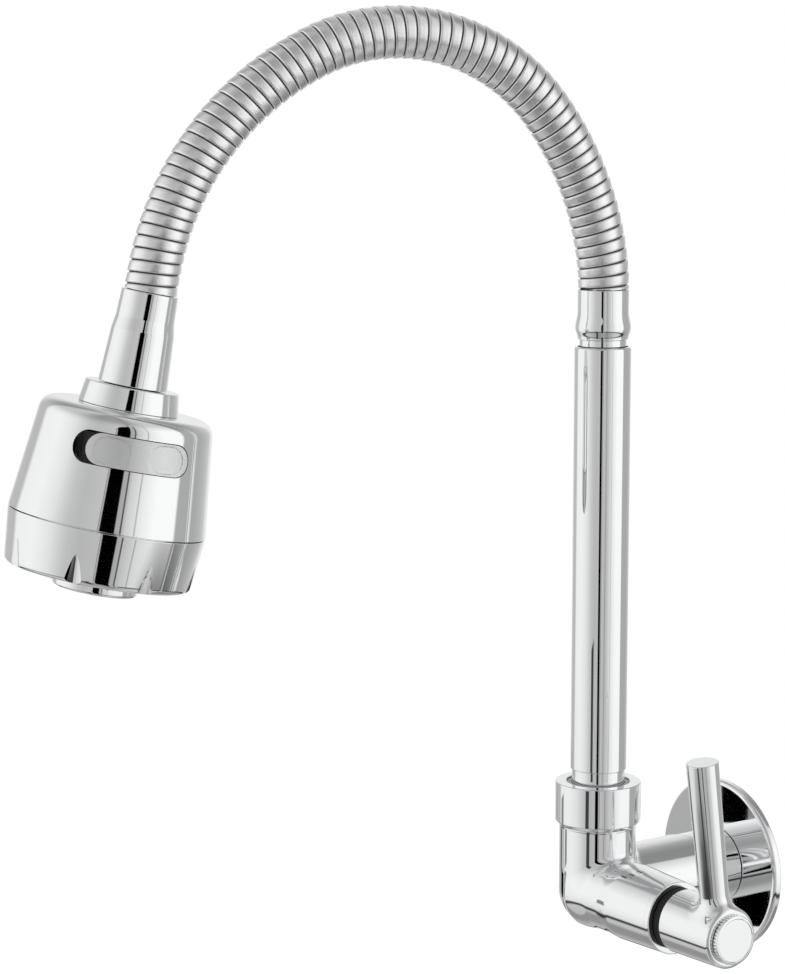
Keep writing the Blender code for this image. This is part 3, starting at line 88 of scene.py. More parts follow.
studio = {
    # brightness round the object, in degrees to the right of the camera, as mirrors see it
    "around": [(-180, 0.85), (-165, 0.75), (-150, 0.52), (-128, 0.50), (-120, 0.90), (-88, 0.93),
               (-70, 0.85), (-60, 0.78), (-50, 0.66), (-40, 0.56), (-26, 0.50), (-12, 0.53),
               (2, 0.55), (16, 0.46), (28, 0.64), (36, 0.76), (46, 0.88), (60, 1.0), (88, 1.0),
               (91, 0.42), (124, 0.42), (140, 0.50), (152, 0.60), (164, 0.85), (180, 0.85)],
    # darker gaps between the lamps, as centre, half width and brightness
    "gaps": [(14.0, 0.5, 0.45), (38.0, 0.4, 0.5)],
    "gapEdge": 0.8,
    "gapHeights": (-40.0, 38.0),
    # brightness by height above the horizon, in degrees
    "upward": [(-90, 0.66), (-44, 0.56), (-34, 0.62), (-31, 0.05), (-29, 0.05), (-26, 0.82),
               (-16, 0.94), (-6, 1.0), (18, 1.0), (30, 0.86), (42, 0.66), (60, 0.60), (90, 0.62)],
    "ambient": 0.9,
    # dark cards that only mirrors see: two ends on plan, lowest and highest edge in metres, and
    # brightness from the first end to the other
    "cards": {
        "left": ((-0.232, -0.197), (-0.218, -0.242), -0.064, -0.028, [(0.0, 0.25), (1.0, 0.25)]),
        "flange": ((-0.141, -0.050), (-0.108, -0.090), -0.045, 0.030, [(0.0, 0.42), (1.0, 0.42)]),
        "flangeTop": ((-0.085, -0.079), (-0.077, -0.088), -0.013, 0.005, [(0.0, 0.0), (1.0, 0.0)]),
        "flangeFoot": ((-0.073, -0.076), (-0.062, -0.089), -0.058, -0.040, [(0.0, 0.0), (1.0, 0.0)]),
        "lever": ((-0.335, -0.108), (-0.314, -0.185), -0.145, -0.085, [(0.0, 0.0), (1.0, 0.0)]),
        "centre": ((0.777, -0.8995), (0.3989, -0.3214), -0.30, 0.45, [
            (0.0, 0.50), (0.06, 0.50), (0.07, 0.04), (0.09, 0.04), (0.10, 0.45), (0.20, 0.40),
            (0.225, 0.0), (0.81, 0.0), (0.83, 0.40), (0.92, 0.42), (0.935, 0.08), (0.955, 0.08),
            (0.965, 0.52), (1.0, 0.52)]),
        "low": ((0.162, -0.538), (0.252, -0.538), -0.30, 0.0, [(0.0, 0.05), (1.0, 0.05)]),
    },
    "floorDrop": 0.36,                 # below the wall inlet
    "floorRadius": 1.6,
    "floorGlow": 0.15,
}


# a socket's value, or a link to it
def feed(links, socket, value):
    if isinstance(value, (int, float)):
        socket.default_value = value
    else:
        links.new(value, socket)


# the colour of a Color Ramp whose stops are given over a span
def rampNode(nodes, links, source, stops, span):
    ramp = nodes.new("ShaderNodeValToRGB")
    links.new(source, ramp.inputs["Fac"])
    low, high = span
    elements = ramp.color_ramp.elements
    while len(elements) > 1:
        elements.remove(elements[-1])
    for index, (at, shade) in enumerate(stops):
        position = (at - low) / (high - low)
        element = elements[0] if index == 0 else elements.new(position)
        element.position = position
        element.color = (shade, shade, shade, 1.0)
    return ramp.outputs["Color"]


def mathNode(nodes, links, operation, *values):
    node = nodes.new("ShaderNodeMath")
    node.operation = operation
    for socket, value in zip(node.inputs, values):
        feed(links, socket, value)
    return node.outputs[0]


def mixNode(nodes, links, factor, without, within):
    node = nodes.new("ShaderNodeMix")
    node.data_type = 'FLOAT'
    for label, value in (("Factor", factor), ("A", without), ("B", within)):
        feed(links, node.inputs[label], value)
    return node.outputs["Result"]


# stops that rise at every gap between the lamps by what it takes from the light
def gapStops():
    edge = studio["gapEdge"]
    stops = [(-180, 0.0)]
    for middle, half, shade in studio["gaps"]:
        dark = 1.0 - shade
        stops += [(middle - half - edge, 0.0), (middle - half, dark),
                  (middle + half, dark), (middle + half + edge, 0.0)]
    return stops + [(180, 0.0)]


def buildStudio():
    world = bpy.data.worlds.new("studio")
    bpy.context.scene.world = world
    world.use_nodes = True
    nodes, links = world.node_tree.nodes, world.node_tree.links
    nodes.clear()
    turn = nodes.new("ShaderNodeVectorRotate")
    turn.rotation_type = 'Z_AXIS'
    turn.inputs["Angle"].default_value = -math.radians(shot["turn"][2] - 90.0)
    links.new(nodes.new("ShaderNodeTexCoord").outputs["Generated"], turn.inputs["Vector"])
    split = nodes.new("ShaderNodeSeparateXYZ")
    links.new(turn.outputs[0], split.inputs[0])
    around = mathNode(nodes, links, 'ARCTAN2', split.outputs["Y"], split.outputs["X"])
    around = mathNode(nodes, links, 'MULTIPLY_ADD', around, 0.5 / math.pi, 0.5)
    height = mathNode(nodes, links, 'ARCSINE', split.outputs["Z"])
    height = mathNode(nodes, links, 'MULTIPLY_ADD', height, 1.0 / math.pi, 0.5)

    circle, halfCircle = (-180.0, 180.0), (-90.0, 90.0)
    low, high = studio["gapHeights"]
    reach = [(low - 1, 0.0), (low, 1.0), (high, 1.0), (high + 1, 0.0)]
    aroundShade = rampNode(nodes, links, around, studio["around"], circle)
    upShade = rampNode(nodes, links, height, studio["upward"], halfCircle)
    dark = mathNode(nodes, links, 'MULTIPLY', rampNode(nodes, links, around, gapStops(), circle),
                    rampNode(nodes, links, height, reach, halfCircle))
    light = mathNode(nodes, links, 'SUBTRACT', 1.0, dark)
    shade = mathNode(nodes, links, 'MULTIPLY', aroundShade, upShade)
    shade = mathNode(nodes, links, 'MULTIPLY', shade, light)

    path = nodes.new("ShaderNodeLightPath").outputs
    mirrored = mixNode(nodes, links, path["Is Glossy Ray"], studio["ambient"], shade)
    straight = mathNode(nodes, links, 'MAXIMUM', path["Is Camera Ray"], path["Is Transmission Ray"])
    background = nodes.new("ShaderNodeBackground")
    links.new(mixNode(nodes, links, straight, mirrored, 1.0), background.inputs["Color"])
    output = nodes.new("ShaderNodeOutputWorld")
    links.new(background.outputs[0], output.inputs["Surface"])


# a plain matt material that can glow, and its shader node
def plainMaterial(name, colour, glow):
    material = bpy.data.materials.new(name)
    material.use_nodes = True
    shader = material.node_tree.nodes["Principled BSDF"]
    shader.inputs["Base Color"].default_value = (colour, colour, colour, 1.0)
    shader.inputs["Roughness"].default_value = 1.0
    shader.inputs["Emission Color"].default_value = (1.0, 1.0, 1.0, 1.0)
    shader.inputs["Emission Strength"].default_value = glow
    return material, shader


def buildFloor():
    bm = bmesh.new()
    bmesh.ops.create_circle(bm, cap_ends=True, segments=96, radius=studio["floorRadius"])
    mesh = bpy.data.meshes.new("floor")
    bm.to_mesh(mesh)
    bm.free()
    floor = bpy.data.objects.new("floor", mesh)
    floor.location = (0.0, 0.0, cadBox[0][2] - studio["floorDrop"])
    floor.visible_glossy = False
    bpy.context.scene.collection.objects.link(floor)
    mesh.materials.append(plainMaterial("paleFloor", 1.0, studio["floorGlow"])[0])


def buildCards():
    for name, (start, end, low, high, shades) in studio["cards"].items():
        mesh = bpy.data.meshes.new(f"{name}Card")
        mesh.from_pydata([(*start, low), (*end, low), (*end, high), (*start, high)], [],
                         [(0, 1, 2, 3)])
        layer = mesh.uv_layers.new(name="card")
        layer.data.foreach_set("uv", [0, 0, 1, 0, 1, 1, 0, 1])
        card = bpy.data.objects.new(f"{name}Card", mesh)
        bpy.context.scene.collection.objects.link(card)
        card.visible_camera = card.visible_diffuse = card.visible_shadow = False
        card.visible_transmission = card.visible_volume_scatter = False
        material, shader = plainMaterial(f"{name}Card", 0.0, 1.0)
        shader.inputs["Specular IOR Level"].default_value = 0.0
        nodes, links = material.node_tree.nodes, material.node_tree.links
        across = nodes.new("ShaderNodeSeparateXYZ")
        links.new(nodes.new("ShaderNodeTexCoord").outputs["UV"], across.inputs[0])
        shade = rampNode(nodes, links, across.outputs["X"], shades, (0.0, 1.0))
        links.new(shade, shader.inputs["Emission Color"])
        mesh.materials.append(material)


placeCamera()
buildStudio()
buildFloor()
buildCards()
bpy.context.scene.view_settings.view_transform = 'Standard'
print("camera and studio ready")


# a node group with named float inputs, which gives a surface its roughness, shade and normal
def newGroup(name, inputs):
    group = bpy.data.node_groups.new(name, "ShaderNodeTree")
    for label, value in inputs.items():
        socket = group.interface.new_socket(label, in_out='INPUT', socket_type='NodeSocketFloat')
        socket.default_value = value
    for label, kind in (("Roughness", 'Float'), ("Shade", 'Float'), ("Normal", 'Vector')):
        group.interface.new_socket(label, in_out='OUTPUT', socket_type=f"NodeSocket{kind}")
    return group, group.nodes.new("NodeGroupInput").outputs, group.nodes.new("NodeGroupOutput")


def noiseNode(nodes, links, vector, scale, detail):
    noise = nodes.new("ShaderNodeTexNoise")
    links.new(vector, noise.inputs["Vector"])
    feed(links, noise.inputs["Scale"], scale)
    noise.inputs["Detail"].default_value = detail
    return noise.outputs["Fac"]


# lead a bump and the group's other results to its outputs
def giveSurface(nodes, links, end, height, depth, distance, rough, shade):
    bump = nodes.new("ShaderNodeBump")
    bump.inputs["Distance"].default_value = distance
    links.new(depth, bump.inputs["Strength"])
    links.new(height, bump.inputs["Height"])
    links.new(bump.outputs["Normal"], end.inputs["Normal"])
    links.new(rough, end.inputs["Roughness"])
    links.new(shade, end.inputs["Shade"])


# buffed plate: slow waves from polishing, fine haze and a faint change of tint
def polishGroup():
    group, given, end = newGroup("polish", {
        "Wave Scale": 60.0, "Wave Depth": 0.1, "Roughness": 0.03, "Haze": 0.03})
    nodes, links = group.nodes, group.links
    where = nodes.new("ShaderNodeTexCoord").outputs["Object"]
    wave = noiseNode(nodes, links, where, given["Wave Scale"], 1.0)
    haze = mathNode(nodes, links, 'POWER', noiseNode(nodes, links, where, 340.0, 6.0), 3.0)
    haze = mathNode(nodes, links, 'MULTIPLY', haze, given["Haze"])
    rough = mathNode(nodes, links, 'ADD', haze, given["Roughness"])
    tint = noiseNode(nodes, links, where, 26.0, 3.0)
    tint = mathNode(nodes, links, 'MULTIPLY_ADD', tint, 0.03, 0.975)
    giveSurface(nodes, links, end, wave, given["Wave Depth"], 0.0004, rough, tint)
    return group


# fine lines drawn along a strip, from its own U and V
def brushGroup():
    group, given, end = newGroup("brushed", {
        "Lines": 900.0, "Depth": 0.2, "Roughness": 0.12, "Spread": 0.1})
    nodes, links = group.nodes, group.links
    coords = nodes.new("ShaderNodeUVMap")
    coords.uv_map = "strip"
    stretch = nodes.new("ShaderNodeMapping")
    stretch.inputs["Scale"].default_value = (1.5, 1.0, 1.0)
    links.new(coords.outputs["UV"], stretch.inputs["Vector"])
    lines = noiseNode(nodes, links, stretch.outputs["Vector"], given["Lines"], 2.0)
    rough = mathNode(nodes, links, 'MULTIPLY_ADD', lines, given["Spread"], given["Roughness"])
    shade = mathNode(nodes, links, 'MULTIPLY_ADD', lines, 0.08, 0.94)
    giveSurface(nodes, links, end, lines, given["Depth"], 0.0001, rough, shade)
    return group


# moulded or machined grain: fine noise in height, roughness and shade
def grainGroup():
    group, given, end = newGroup("grain", {
        "Scale": 900.0, "Depth": 0.2, "Roughness": 0.5, "Mottle": 0.1})
    nodes, links = group.nodes, group.links
    where = nodes.new("ShaderNodeTexCoord").outputs["Object"]
    bumps = noiseNode(nodes, links, where, given["Scale"], 3.0)
    rough = mathNode(nodes, links, 'MULTIPLY_ADD', bumps, 0.15, given["Roughness"])
    blot = noiseNode(nodes, links, where, 70.0, 2.0)
    blot = mathNode(nodes, links, 'MULTIPLY', blot, given["Mottle"])
    shade = mathNode(nodes, links, 'SUBTRACT', 1.0, blot)
    giveSurface(nodes, links, end, bumps, given["Depth"], 0.0001, rough, shade)
    return group


polish = polishGroup()
brushed = brushGroup()
grain = grainGroup()


# a material whose roughness, shade and normal come from one of the groups
def finishFrom(name, group, values, colour, metallic):
    material = bpy.data.materials.new(name)
    material.use_nodes = True
    nodes, links = material.node_tree.nodes, material.node_tree.links
    shader = nodes["Principled BSDF"]
    effect = nodes.new("ShaderNodeGroup")
    effect.node_tree = group
    for label, value in values.items():
        effect.inputs[label].default_value = value
    tint = nodes.new("ShaderNodeMix")
    tint.data_type = 'RGBA'
    tint.blend_type = 'MULTIPLY'
    tint.inputs["Factor"].default_value = 1.0
    tint.inputs["A"].default_value = (*colour, 1.0)
    links.new(effect.outputs["Shade"], tint.inputs["B"])
    links.new(tint.outputs["Result"], shader.inputs["Base Color"])
    links.new(effect.outputs["Roughness"], shader.inputs["Roughness"])
    links.new(effect.outputs["Normal"], shader.inputs["Normal"])
    shader.inputs["Metallic"].default_value = metallic
    return material


chromeColour = (0.955, 0.96, 0.965)
castChrome = finishFrom("castChrome", polish, {
    "Wave Scale": 45.0, "Wave Depth": 0.12, "Roughness": 0.025, "Haze": 0.05}, chromeColour, 1.0)
tubeChrome = finishFrom("tubeChrome", polish, {
    "Wave Scale": 30.0, "Wave Depth": 0.03, "Roughness": 0.02, "Haze": 0.04}, chromeColour, 1.0)
headChrome = finishFrom("headChrome", polish, {
    "Wave Scale": 20.0, "Wave Depth": 0.02, "Roughness": 0.03, "Haze": 0.05}, chromeColour, 1.0)
satinChrome = finishFrom("satinChrome", polish, {
    "Wave Scale": 40.0, "Wave Depth": 0.03, "Roughness": 0.5, "Haze": 0.1}, (0.93, 0.935, 0.94), 1.0)
woundStrip = finishFrom("woundStrip", brushed, {
    "Lines": 700.0, "Depth": 0.25, "Roughness": 0.14, "Spread": 0.12}, (0.98, 0.98, 0.98), 1.0)
# near-black matt finish for the groove floors between the neck's ribs: painted shade in the creases
grooveShade = finishFrom("grooveShade", grain, {
    "Scale": 700.0, "Depth": 0.2, "Roughness": 0.55, "Mottle": 0.2}, (0.05, 0.05, 0.055), 0.0)
blackPlastic = finishFrom("blackPlastic", grain, {
    "Scale": 1200.0, "Depth": 0.2, "Roughness": 0.6, "Mottle": 0.2}, (0.003, 0.003, 0.0032), 0.0)
greyPlastic = finishFrom("greyPlastic", grain, {
    "Scale": 900.0, "Depth": 0.2, "Roughness": 0.42, "Mottle": 0.08}, (0.42, 0.43, 0.44), 0.0)
whitePlastic = finishFrom("whitePlastic", grain, {
    "Scale": 900.0, "Depth": 0.15, "Roughness": 0.38, "Mottle": 0.04}, (0.93, 0.93, 0.925), 0.0)
sealRubber = finishFrom("sealRubber", grain, {
    "Scale": 1500.0, "Depth": 0.4, "Roughness": 0.7, "Mottle": 0.25}, (0.03, 0.03, 0.032), 0.0)
nozzleRubber = finishFrom("nozzleRubber", grain, {
    "Scale": 1100.0, "Depth": 0.3, "Roughness": 0.55, "Mottle": 0.12}, (0.30, 0.31, 0.32), 0.0)
plainBrass = finishFrom("plainBrass", grain, {
    "Scale": 600.0, "Depth": 0.3, "Roughness": 0.22, "Mottle": 0.15}, (0.78, 0.60, 0.28), 1.0)
plainSteel = finishFrom("plainSteel", grain, {
    "Scale": 800.0, "Depth": 0.2, "Roughness": 0.2, "Mottle": 0.1}, (0.68, 0.69, 0.70), 1.0)
ceramic = finishFrom("ceramic", grain, {
    "Scale": 1500.0, "Depth": 0.05, "Roughness": 0.2, "Mottle": 0.04}, (0.86, 0.85, 0.81), 0.0)

slotFinishes = {
    "polished_chrome": tubeChrome, "plated_plastic": headChrome, "wound_steel": woundStrip,
    "plain_brass": plainBrass, "spring_steel": plainSteel, "ceramic": ceramic,
    "seal_rubber": sealRubber, "nozzle_rubber": nozzleRubber, "black_plastic": blackPlastic,
    "moulded_grey": greyPlastic, "moulded_white": whitePlastic,
}


# give every CAD node the finish of its slot
def dressNodes():
    for part in frame["record"]["subparts"]:
        mesh = frame["nodes"][part["node"]].data
        mesh.materials.clear()
        mesh.materials.append(slotFinishes[part["material_slot"]])
        mesh.shade_smooth()
        mesh.set_sharp_from_angle(angle=math.radians(35.0))


dressNodes()
print("finishes ready")


millimetre = 0.001
cornerPlace = Vector(joints["lever_turn"]["pos_m"])
sideways = Vector(joints["neck_bend_1"]["axis"]).normalized()
headUp = Vector(joints["selector_slide_round"]["axis"]).normalized()
hoseEnd = Vector(joints["selector_slide_round"]["pos_m"])
outward = sideways.cross(Vector((0, 0, 1)))                                 # over the bend, on plan


def axes(place, x, y, z):
    turn = Matrix((x, y, z)).transposed().to_4x4()
    return Matrix.Translation(place) @ turn


upFrame = Matrix.Translation(cornerPlace)                                   # riser axis
armFrame = upFrame @ Matrix.Rotation(math.pi / 2, 4, 'Y')                   # valve arm axis
wallFrame = upFrame @ Matrix.Rotation(-math.pi / 2, 4, 'X')                 # neck axis
headFrame = axes(hoseEnd, sideways.cross(headUp).normalized(), sideways, headUp)
standOff = -cornerPlace.y / millimetre                                      # corner to wall


# outlines are in millimetres. Each (radius, height, fillet) corner becomes an arc with short
# straight lead-ins
def roundedOutline(points, steps=6):
    outline = []
    count = len(points)
    for index, point in enumerate(points):
        corner = Vector(point[:2])
        if len(point) == 2:
            outline.append(corner)
            continue
        back = Vector(points[index - 1][:2]) - corner
        ahead = Vector(points[(index + 1) % count][:2]) - corner
        spare = min(back.length, ahead.length)
        back.normalize()
        ahead.normalize()
        half = back.angle(ahead) / 2.0
        run = point[2] / math.tan(half)
        lead = min(point[2] * 0.25, max(spare - run, 0.0) * 0.4)
        centre = corner + (back + ahead).normalized() * (point[2] / math.sin(half))
        start = corner + back * run - centre
        end = corner + ahead * run - centre
        sweep = math.atan2(start.cross(end), start.dot(end))
        outline.append(corner + back * (run + lead))
        for step in range(steps + 1):
            outline.append(centre + Matrix.Rotation(sweep * step / steps, 2) @ start)
        outline.append(corner + ahead * (run + lead))
    return outline


def spunMesh(points, segments):
    bm = bmesh.new()
    rings = []
    for radius, height in roundedOutline(points):
        if radius < 1e-4:
            rings.append([bm.verts.new((0.0, 0.0, height))])
            continue
        rings.append([bm.verts.new((radius * math.cos(math.tau * step / segments),
                                    radius * math.sin(math.tau * step / segments), height))
                      for step in range(segments)])
    for ring, after in zip(rings, rings[1:] + rings[:1]):
        if len(ring) == 1 and len(after) == 1:
            continue
        for step in range(segments):
            ahead = (step + 1) % segments
            corners = [ring[step % len(ring)], ring[ahead % len(ring)],
                       after[ahead % len(after)], after[step % len(after)]]
            bm.faces.new(list(dict.fromkeys(corners)))
    bmesh.ops.recalc_face_normals(bm, faces=bm.faces)
    return bm


def keepPiece(bm, name, material, matrix=Matrix(), sharpAngle=40.0):
    mesh = bpy.data.meshes.new(name)
    bm.to_mesh(mesh)
    bm.free()
    mesh.shade_smooth()
    mesh.set_sharp_from_angle(angle=math.radians(sharpAngle))
    mesh.materials.append(material)
    piece = bpy.data.objects.new(name, mesh)
    bpy.context.scene.collection.objects.link(piece)
    piece.matrix_world = matrix
    return piece


# an outline turned round its axis, in metres
def turned(points, segments):
    bm = spunMesh(points, segments)
    bm.transform(Matrix.Scale(millimetre, 4))
    return bm


# a turned piece from a closed outline of (radius, height[, fillet])
def spun(name, points, material, matrix, segments=160):
    piece = keepPiece(turned(points, segments), name, material, matrix)
    weigh(piece)
    return piece


def weigh(piece):
    weighted = piece.modifiers.new("weighted", 'WEIGHTED_NORMAL')
    weighted.mode = 'FACE_AREA'
    weighted.keep_sharp = True


def place(piece, body, slot, *nodes):
    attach(piece, body)
    if nodes:
        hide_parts(*nodes)


# fix a piece's modifiers into its mesh
def applyModifiers(piece):
    bpy.context.view_layer.update()
    shown = piece.evaluated_get(bpy.context.evaluated_depsgraph_get())
    mesh = bpy.data.meshes.new_from_object(shown)
    piece.modifiers.clear()
    piece.data = mesh


def cutBy(piece, tool):
    step = piece.modifiers.new("cut", 'BOOLEAN')
    step.operation = 'DIFFERENCE'
    step.solver = 'EXACT'
    step.object = tool
    applyModifiers(piece)
    bpy.data.objects.remove(tool)


# give cut turned surfaces back the smooth normals of the uncut form
def surfaceNormals(piece, normalAt, limit=14.0):
    mesh = piece.data
    near = math.cos(math.radians(limit))
    corners = [None] * len(mesh.loops)
    for face in mesh.polygons:
        for index in face.loop_indices:
            point = mesh.vertices[mesh.loops[index].vertex_index].co
            ideal = normalAt(point)
            corners[index] = ideal if face.normal.dot(ideal) > near else face.normal
    mesh.normals_split_custom_set(corners)


flange = {
    "radius": 35.0, "thickness": 3.7, "edge": 1.5, "hole": 10.7, "frontWall": 1.8,
    "recess": 29.3, "rim": 0.5,
}


def makeFlange():
    front = -flange["thickness"]
    pocket = front + flange["frontWall"]
    piece = spun("wallFlange", [
        (flange["hole"], front), (flange["hole"], pocket), (flange["recess"], pocket),
        (flange["recess"], 0.0), (flange["radius"], 0.0, flange["rim"]),
        (flange["radius"], front, flange["edge"]),
    ], castChrome, Matrix.Rotation(-math.pi / 2, 4, 'X'), 192)
    place(piece, "valve", "polished_chrome", "wall_flange")


makeFlange()
print("flange done")


body = {
    "socket": 15.2, "armRoot": 14.6, "neckRoot": 14.9, "neck": 15.3, "soften": 3.0, "grid": 0.75,
    "socketReach": 26.2, "armReach": 47.0, "neckReach": 24.0,
    "collar": 16.9, "collarStart": 26.6, "top": 44.0, "mouth": 12.6, "mouthDepth": 1.6,
    "bore": 10.75, "arm": 15.1, "swellStart": 17.0, "swellEnd": 25.0,
    "armEnd": 49.5, "armTaper": 14.2, "armBore": 9.5,
    "inlet": 10.4, "inletBore": 6.5, "inletEnd": 13.0, "flange": 3.7, "gap": 0.3,
    "thread": 1.8, "threadDepth": 0.55, "threadStart": 1.5, "threadEnd": 0.4,
    "collarRise": 1.7, "collarEdge": 0.5, "mouthEdge": 0.25, "skirt": 6.0, "skirtWall": 1.0,
    "armEdge": 0.45, "neckEdge": 0.3,
    # how far turned pieces lap under the blended corner, and how much thinner they are there
    "lap": 1.5, "collarLap": 0.4, "tuck": 0.02, "seedExtra": 4.0,
}


def radial(points, axis):
    others = [index for index in range(3) if index != axis]
    return np.linalg.norm(points[:, others], axis=1)


def softMin(a, b, soften):
    blend = np.maximum(soften - np.abs(a - b), 0.0) / soften
    return np.minimum(a, b) - blend * blend * soften / 4.0


# the arm swells softly past its root, then narrows towards the handle
def armRadius(along):
    share = np.clip((along - body["swellStart"]) / (body["swellEnd"] - body["swellStart"]), 0.0, 1.0)
    swell = share * share * (3.0 - 2.0 * share) * (body["arm"] - body["armRoot"])
    taper = (body["arm"] - body["armTaper"]) / (body["armEnd"] - body["swellEnd"])
    return body["armRoot"] + swell - taper * np.maximum(along - body["swellEnd"], 0.0)


def neckRadius(along):
    return body["neckRoot"] + (body["neck"] - body["neckRoot"]) * along / standOff


# distance-like field of the casting's corner
def bodyField(points):
    lifted = points.copy()
    lifted[:, 2] = np.minimum(lifted[:, 2], 0.0)
    socket = np.where(points[:, 2] > 0.0, radial(points, 2),
                      np.linalg.norm(lifted, axis=1)) - body["socket"]
    arm = np.maximum(radial(points, 0) - armRadius(points[:, 0]), -points[:, 0])
    back = np.maximum(radial(points, 1) - neckRadius(points[:, 1]), -points[:, 1])
    return softMin(softMin(socket, arm, body["soften"]), back, body["soften"])


def fieldGradient(field, points, step=0.02):
    gradient = np.empty_like(points)
    for axis in range(3):
        shift = np.zeros(3)
        shift[axis] = step
        gradient[:, axis] = (field(points + shift) - field(points - shift)) / (2.0 * step)
    return gradient


# join overlapping seeds into one skin, settle it on a field and keep part of it
def castFromField(name, seeds, field, keep, grid, material, matrix):
    bm = bmesh.new()
    for seed in seeds:
        bm.from_mesh(seed)
        bpy.data.meshes.remove(seed)
    piece = keepPiece(bm, name, material)
    remesh = piece.modifiers.new("skin", 'REMESH')
    remesh.mode = 'VOXEL'
    remesh.voxel_size = grid
    applyModifiers(piece)
    mesh = piece.data
    points = np.empty(len(mesh.vertices) * 3)
    mesh.vertices.foreach_get("co", points)
    points = points.reshape(-1, 3)
    for settling in range(8):
        gradient = fieldGradient(field, points)
        steepness = np.maximum((gradient ** 2).sum(axis=1), 0.2)
        points -= gradient * (field(points) / steepness)[:, None]
    normals = fieldGradient(field, points)
    normals /= np.maximum(np.linalg.norm(normals, axis=1), 1e-9)[:, None]
    points *= millimetre
    mesh.vertices.foreach_set("co", points.ravel())
    mesh.update()
    drop = ~keep(points / millimetre)
    bm = bmesh.new()
    bm.from_mesh(mesh)
    bm.verts.ensure_lookup_table()
    layer = bm.verts.layers.float_vector.new("settled")
    for vert in bm.verts:
        vert[layer] = normals[vert.index]
    bmesh.ops.delete(bm, geom=[vert for vert in bm.verts if drop[vert.index]], context='VERTS')
    bm.to_mesh(mesh)
    bm.free()
    mesh.shade_smooth()
    if "sharp_edge" in mesh.attributes:
        mesh.attributes.remove(mesh.attributes["sharp_edge"])
    settled = np.empty(len(mesh.vertices) * 3)
    mesh.attributes["settled"].data.foreach_get("vector", settled)
    mesh.normals_split_custom_set_from_vertices(settled.reshape(-1, 3))
    mesh.attributes.remove(mesh.attributes["settled"])
    mesh.materials.clear()
    mesh.materials.append(material)
    piece.matrix_world = matrix
    return piece


# a plain turned solid in millimetres, used as a seed for a skin
def seedMesh(points, matrix):
    bm = spunMesh(points, 64)
    bm.transform(matrix)
    mesh = bpy.data.meshes.new("seed")
    bm.to_mesh(mesh)
    bm.free()
    return mesh


def makeBody():
    along = Matrix.Rotation(math.pi / 2, 4, 'Y')
    back = Matrix.Rotation(-math.pi / 2, 4, 'X')
    rings = 24
    seeds = [seedMesh([(body["socket"] * math.sin(math.pi * step / rings),
                        -body["socket"] * math.cos(math.pi * step / rings))
                       for step in range(rings + 1)], Matrix())]
    for radius, reach, turn in (("socket", "socketReach", Matrix()),
                                ("armRoot", "armReach", along), ("neckRoot", "neckReach", back)):
        end = body[reach] + body["seedExtra"]
        seeds.append(seedMesh([(0, 0), (body[radius], 0), (body[radius], end), (0, end)], turn))
    corner = castFromField(
        "valveCorner", seeds, bodyField,
        lambda p: (p[:, 2] < body["socketReach"]) & (p[:, 0] < body["armReach"])
        & (p[:, 1] < body["neckReach"]), body["grid"], castChrome, upFrame)
    place(corner, "valve", "polished_chrome", "valve_body")

    low = body["collarStart"] - body["skirt"]
    shelf = body["top"] - body["mouthDepth"]
    collar = spun("socketCollar", [
        (body["socket"] - body["tuck"], body["socketReach"] - body["collarLap"]),
        (body["socket"], body["collarStart"]),
        (body["collar"], body["collarStart"] + body["collarRise"], body["collarEdge"]),
        (body["collar"], body["top"], body["collarEdge"]),
        (body["mouth"], body["top"], body["mouthEdge"]), (body["mouth"], shelf),
        (body["bore"], shelf), (body["bore"], low), (body["socket"] - body["skirtWall"], low),
    ], castChrome, upFrame)
    place(collar, "valve", "polished_chrome", "valve_body")

    start = body["armReach"] - body["lap"]
    arm = spun("valveArm", [
        (body["armBore"], start), (float(armRadius(start)) - body["tuck"], start),
        (body["armTaper"], body["armEnd"], body["armEdge"]), (body["armBore"], body["armEnd"]),
    ], castChrome, armFrame)
    place(arm, "valve", "polished_chrome")

    shoulder = standOff - body["flange"] - body["gap"]
    root = body["inlet"] - body["threadDepth"]
    thread = []
    for number in range(int((body["inletEnd"] + body["flange"]) / body["thread"]) - 1):
        crest = standOff - body["flange"] + body["threadStart"] + number * body["thread"]
        thread += [(root, crest), (body["inlet"], crest + body["thread"] * 0.45),
                   (body["inlet"], crest + body["thread"] * 0.6)]
    start = body["neckReach"] - body["lap"]
    end = standOff + body["inletEnd"]
    neckPiece = spun("wallNeck", [
        (body["inletBore"], start), (neckRadius(body["neckReach"]) - body["tuck"], start),
        (body["neck"], shoulder, body["neckEdge"]), (body["inlet"], shoulder),
        *thread, (root, end - body["threadEnd"]), (root, end), (body["inletBore"], end),
    ], castChrome, wallFrame, 128)
    place(neckPiece, "valve", "polished_chrome")


makeBody()
print("valve body done")


handle = {
    "spacerStart": 49.8, "spacerWidth": 3.4, "spacer": 12.0, "spacerBore": 8.4,
    "hubStart": 53.5, "hubEnd": 81.2, "hub": 12.4, "hubTip": 11.6, "rim": 1.3,
    "lever": 73.2, "leverFoot": 5.6, "leverTop": 6.1, "leverHeight": 67.9, "lean": 7.4,
    "leverStart": 5.0, "soften": 5.0, "grid": 0.5, "stem": 30.0, "joinLow": 58.5,
    "cap": 9.5, "capStart": 81.5, "capFace": 83.7, "knurls": 44, "knurl": 0.28,
    "capEdge": 0.5, "capDish": 0.25, "capInset": 0.5, "capRise": 0.3,
    "spacerEdge": 0.2, "skirtEdge": 0.45, "leverEdge": 0.35,
    # how far turned pieces lap under the blended hub, and how much thinner they are there
    "skirtLap": 0.6, "leverLap": 1.0, "tuck": 0.01, "seedExtra": 4.0, "seedSwell": 0.3,
}


def hubRadius(along):
    share = (along - handle["hubStart"]) / (handle["hubEnd"] - handle["hubStart"])
    return handle["hub"] + (handle["hubTip"] - handle["hub"]) * share


def leverRadius(along):
    share = np.clip(along / handle["leverHeight"], 0.0, 1.0)
    return handle["leverFoot"] + (handle["leverTop"] - handle["leverFoot"]) * share


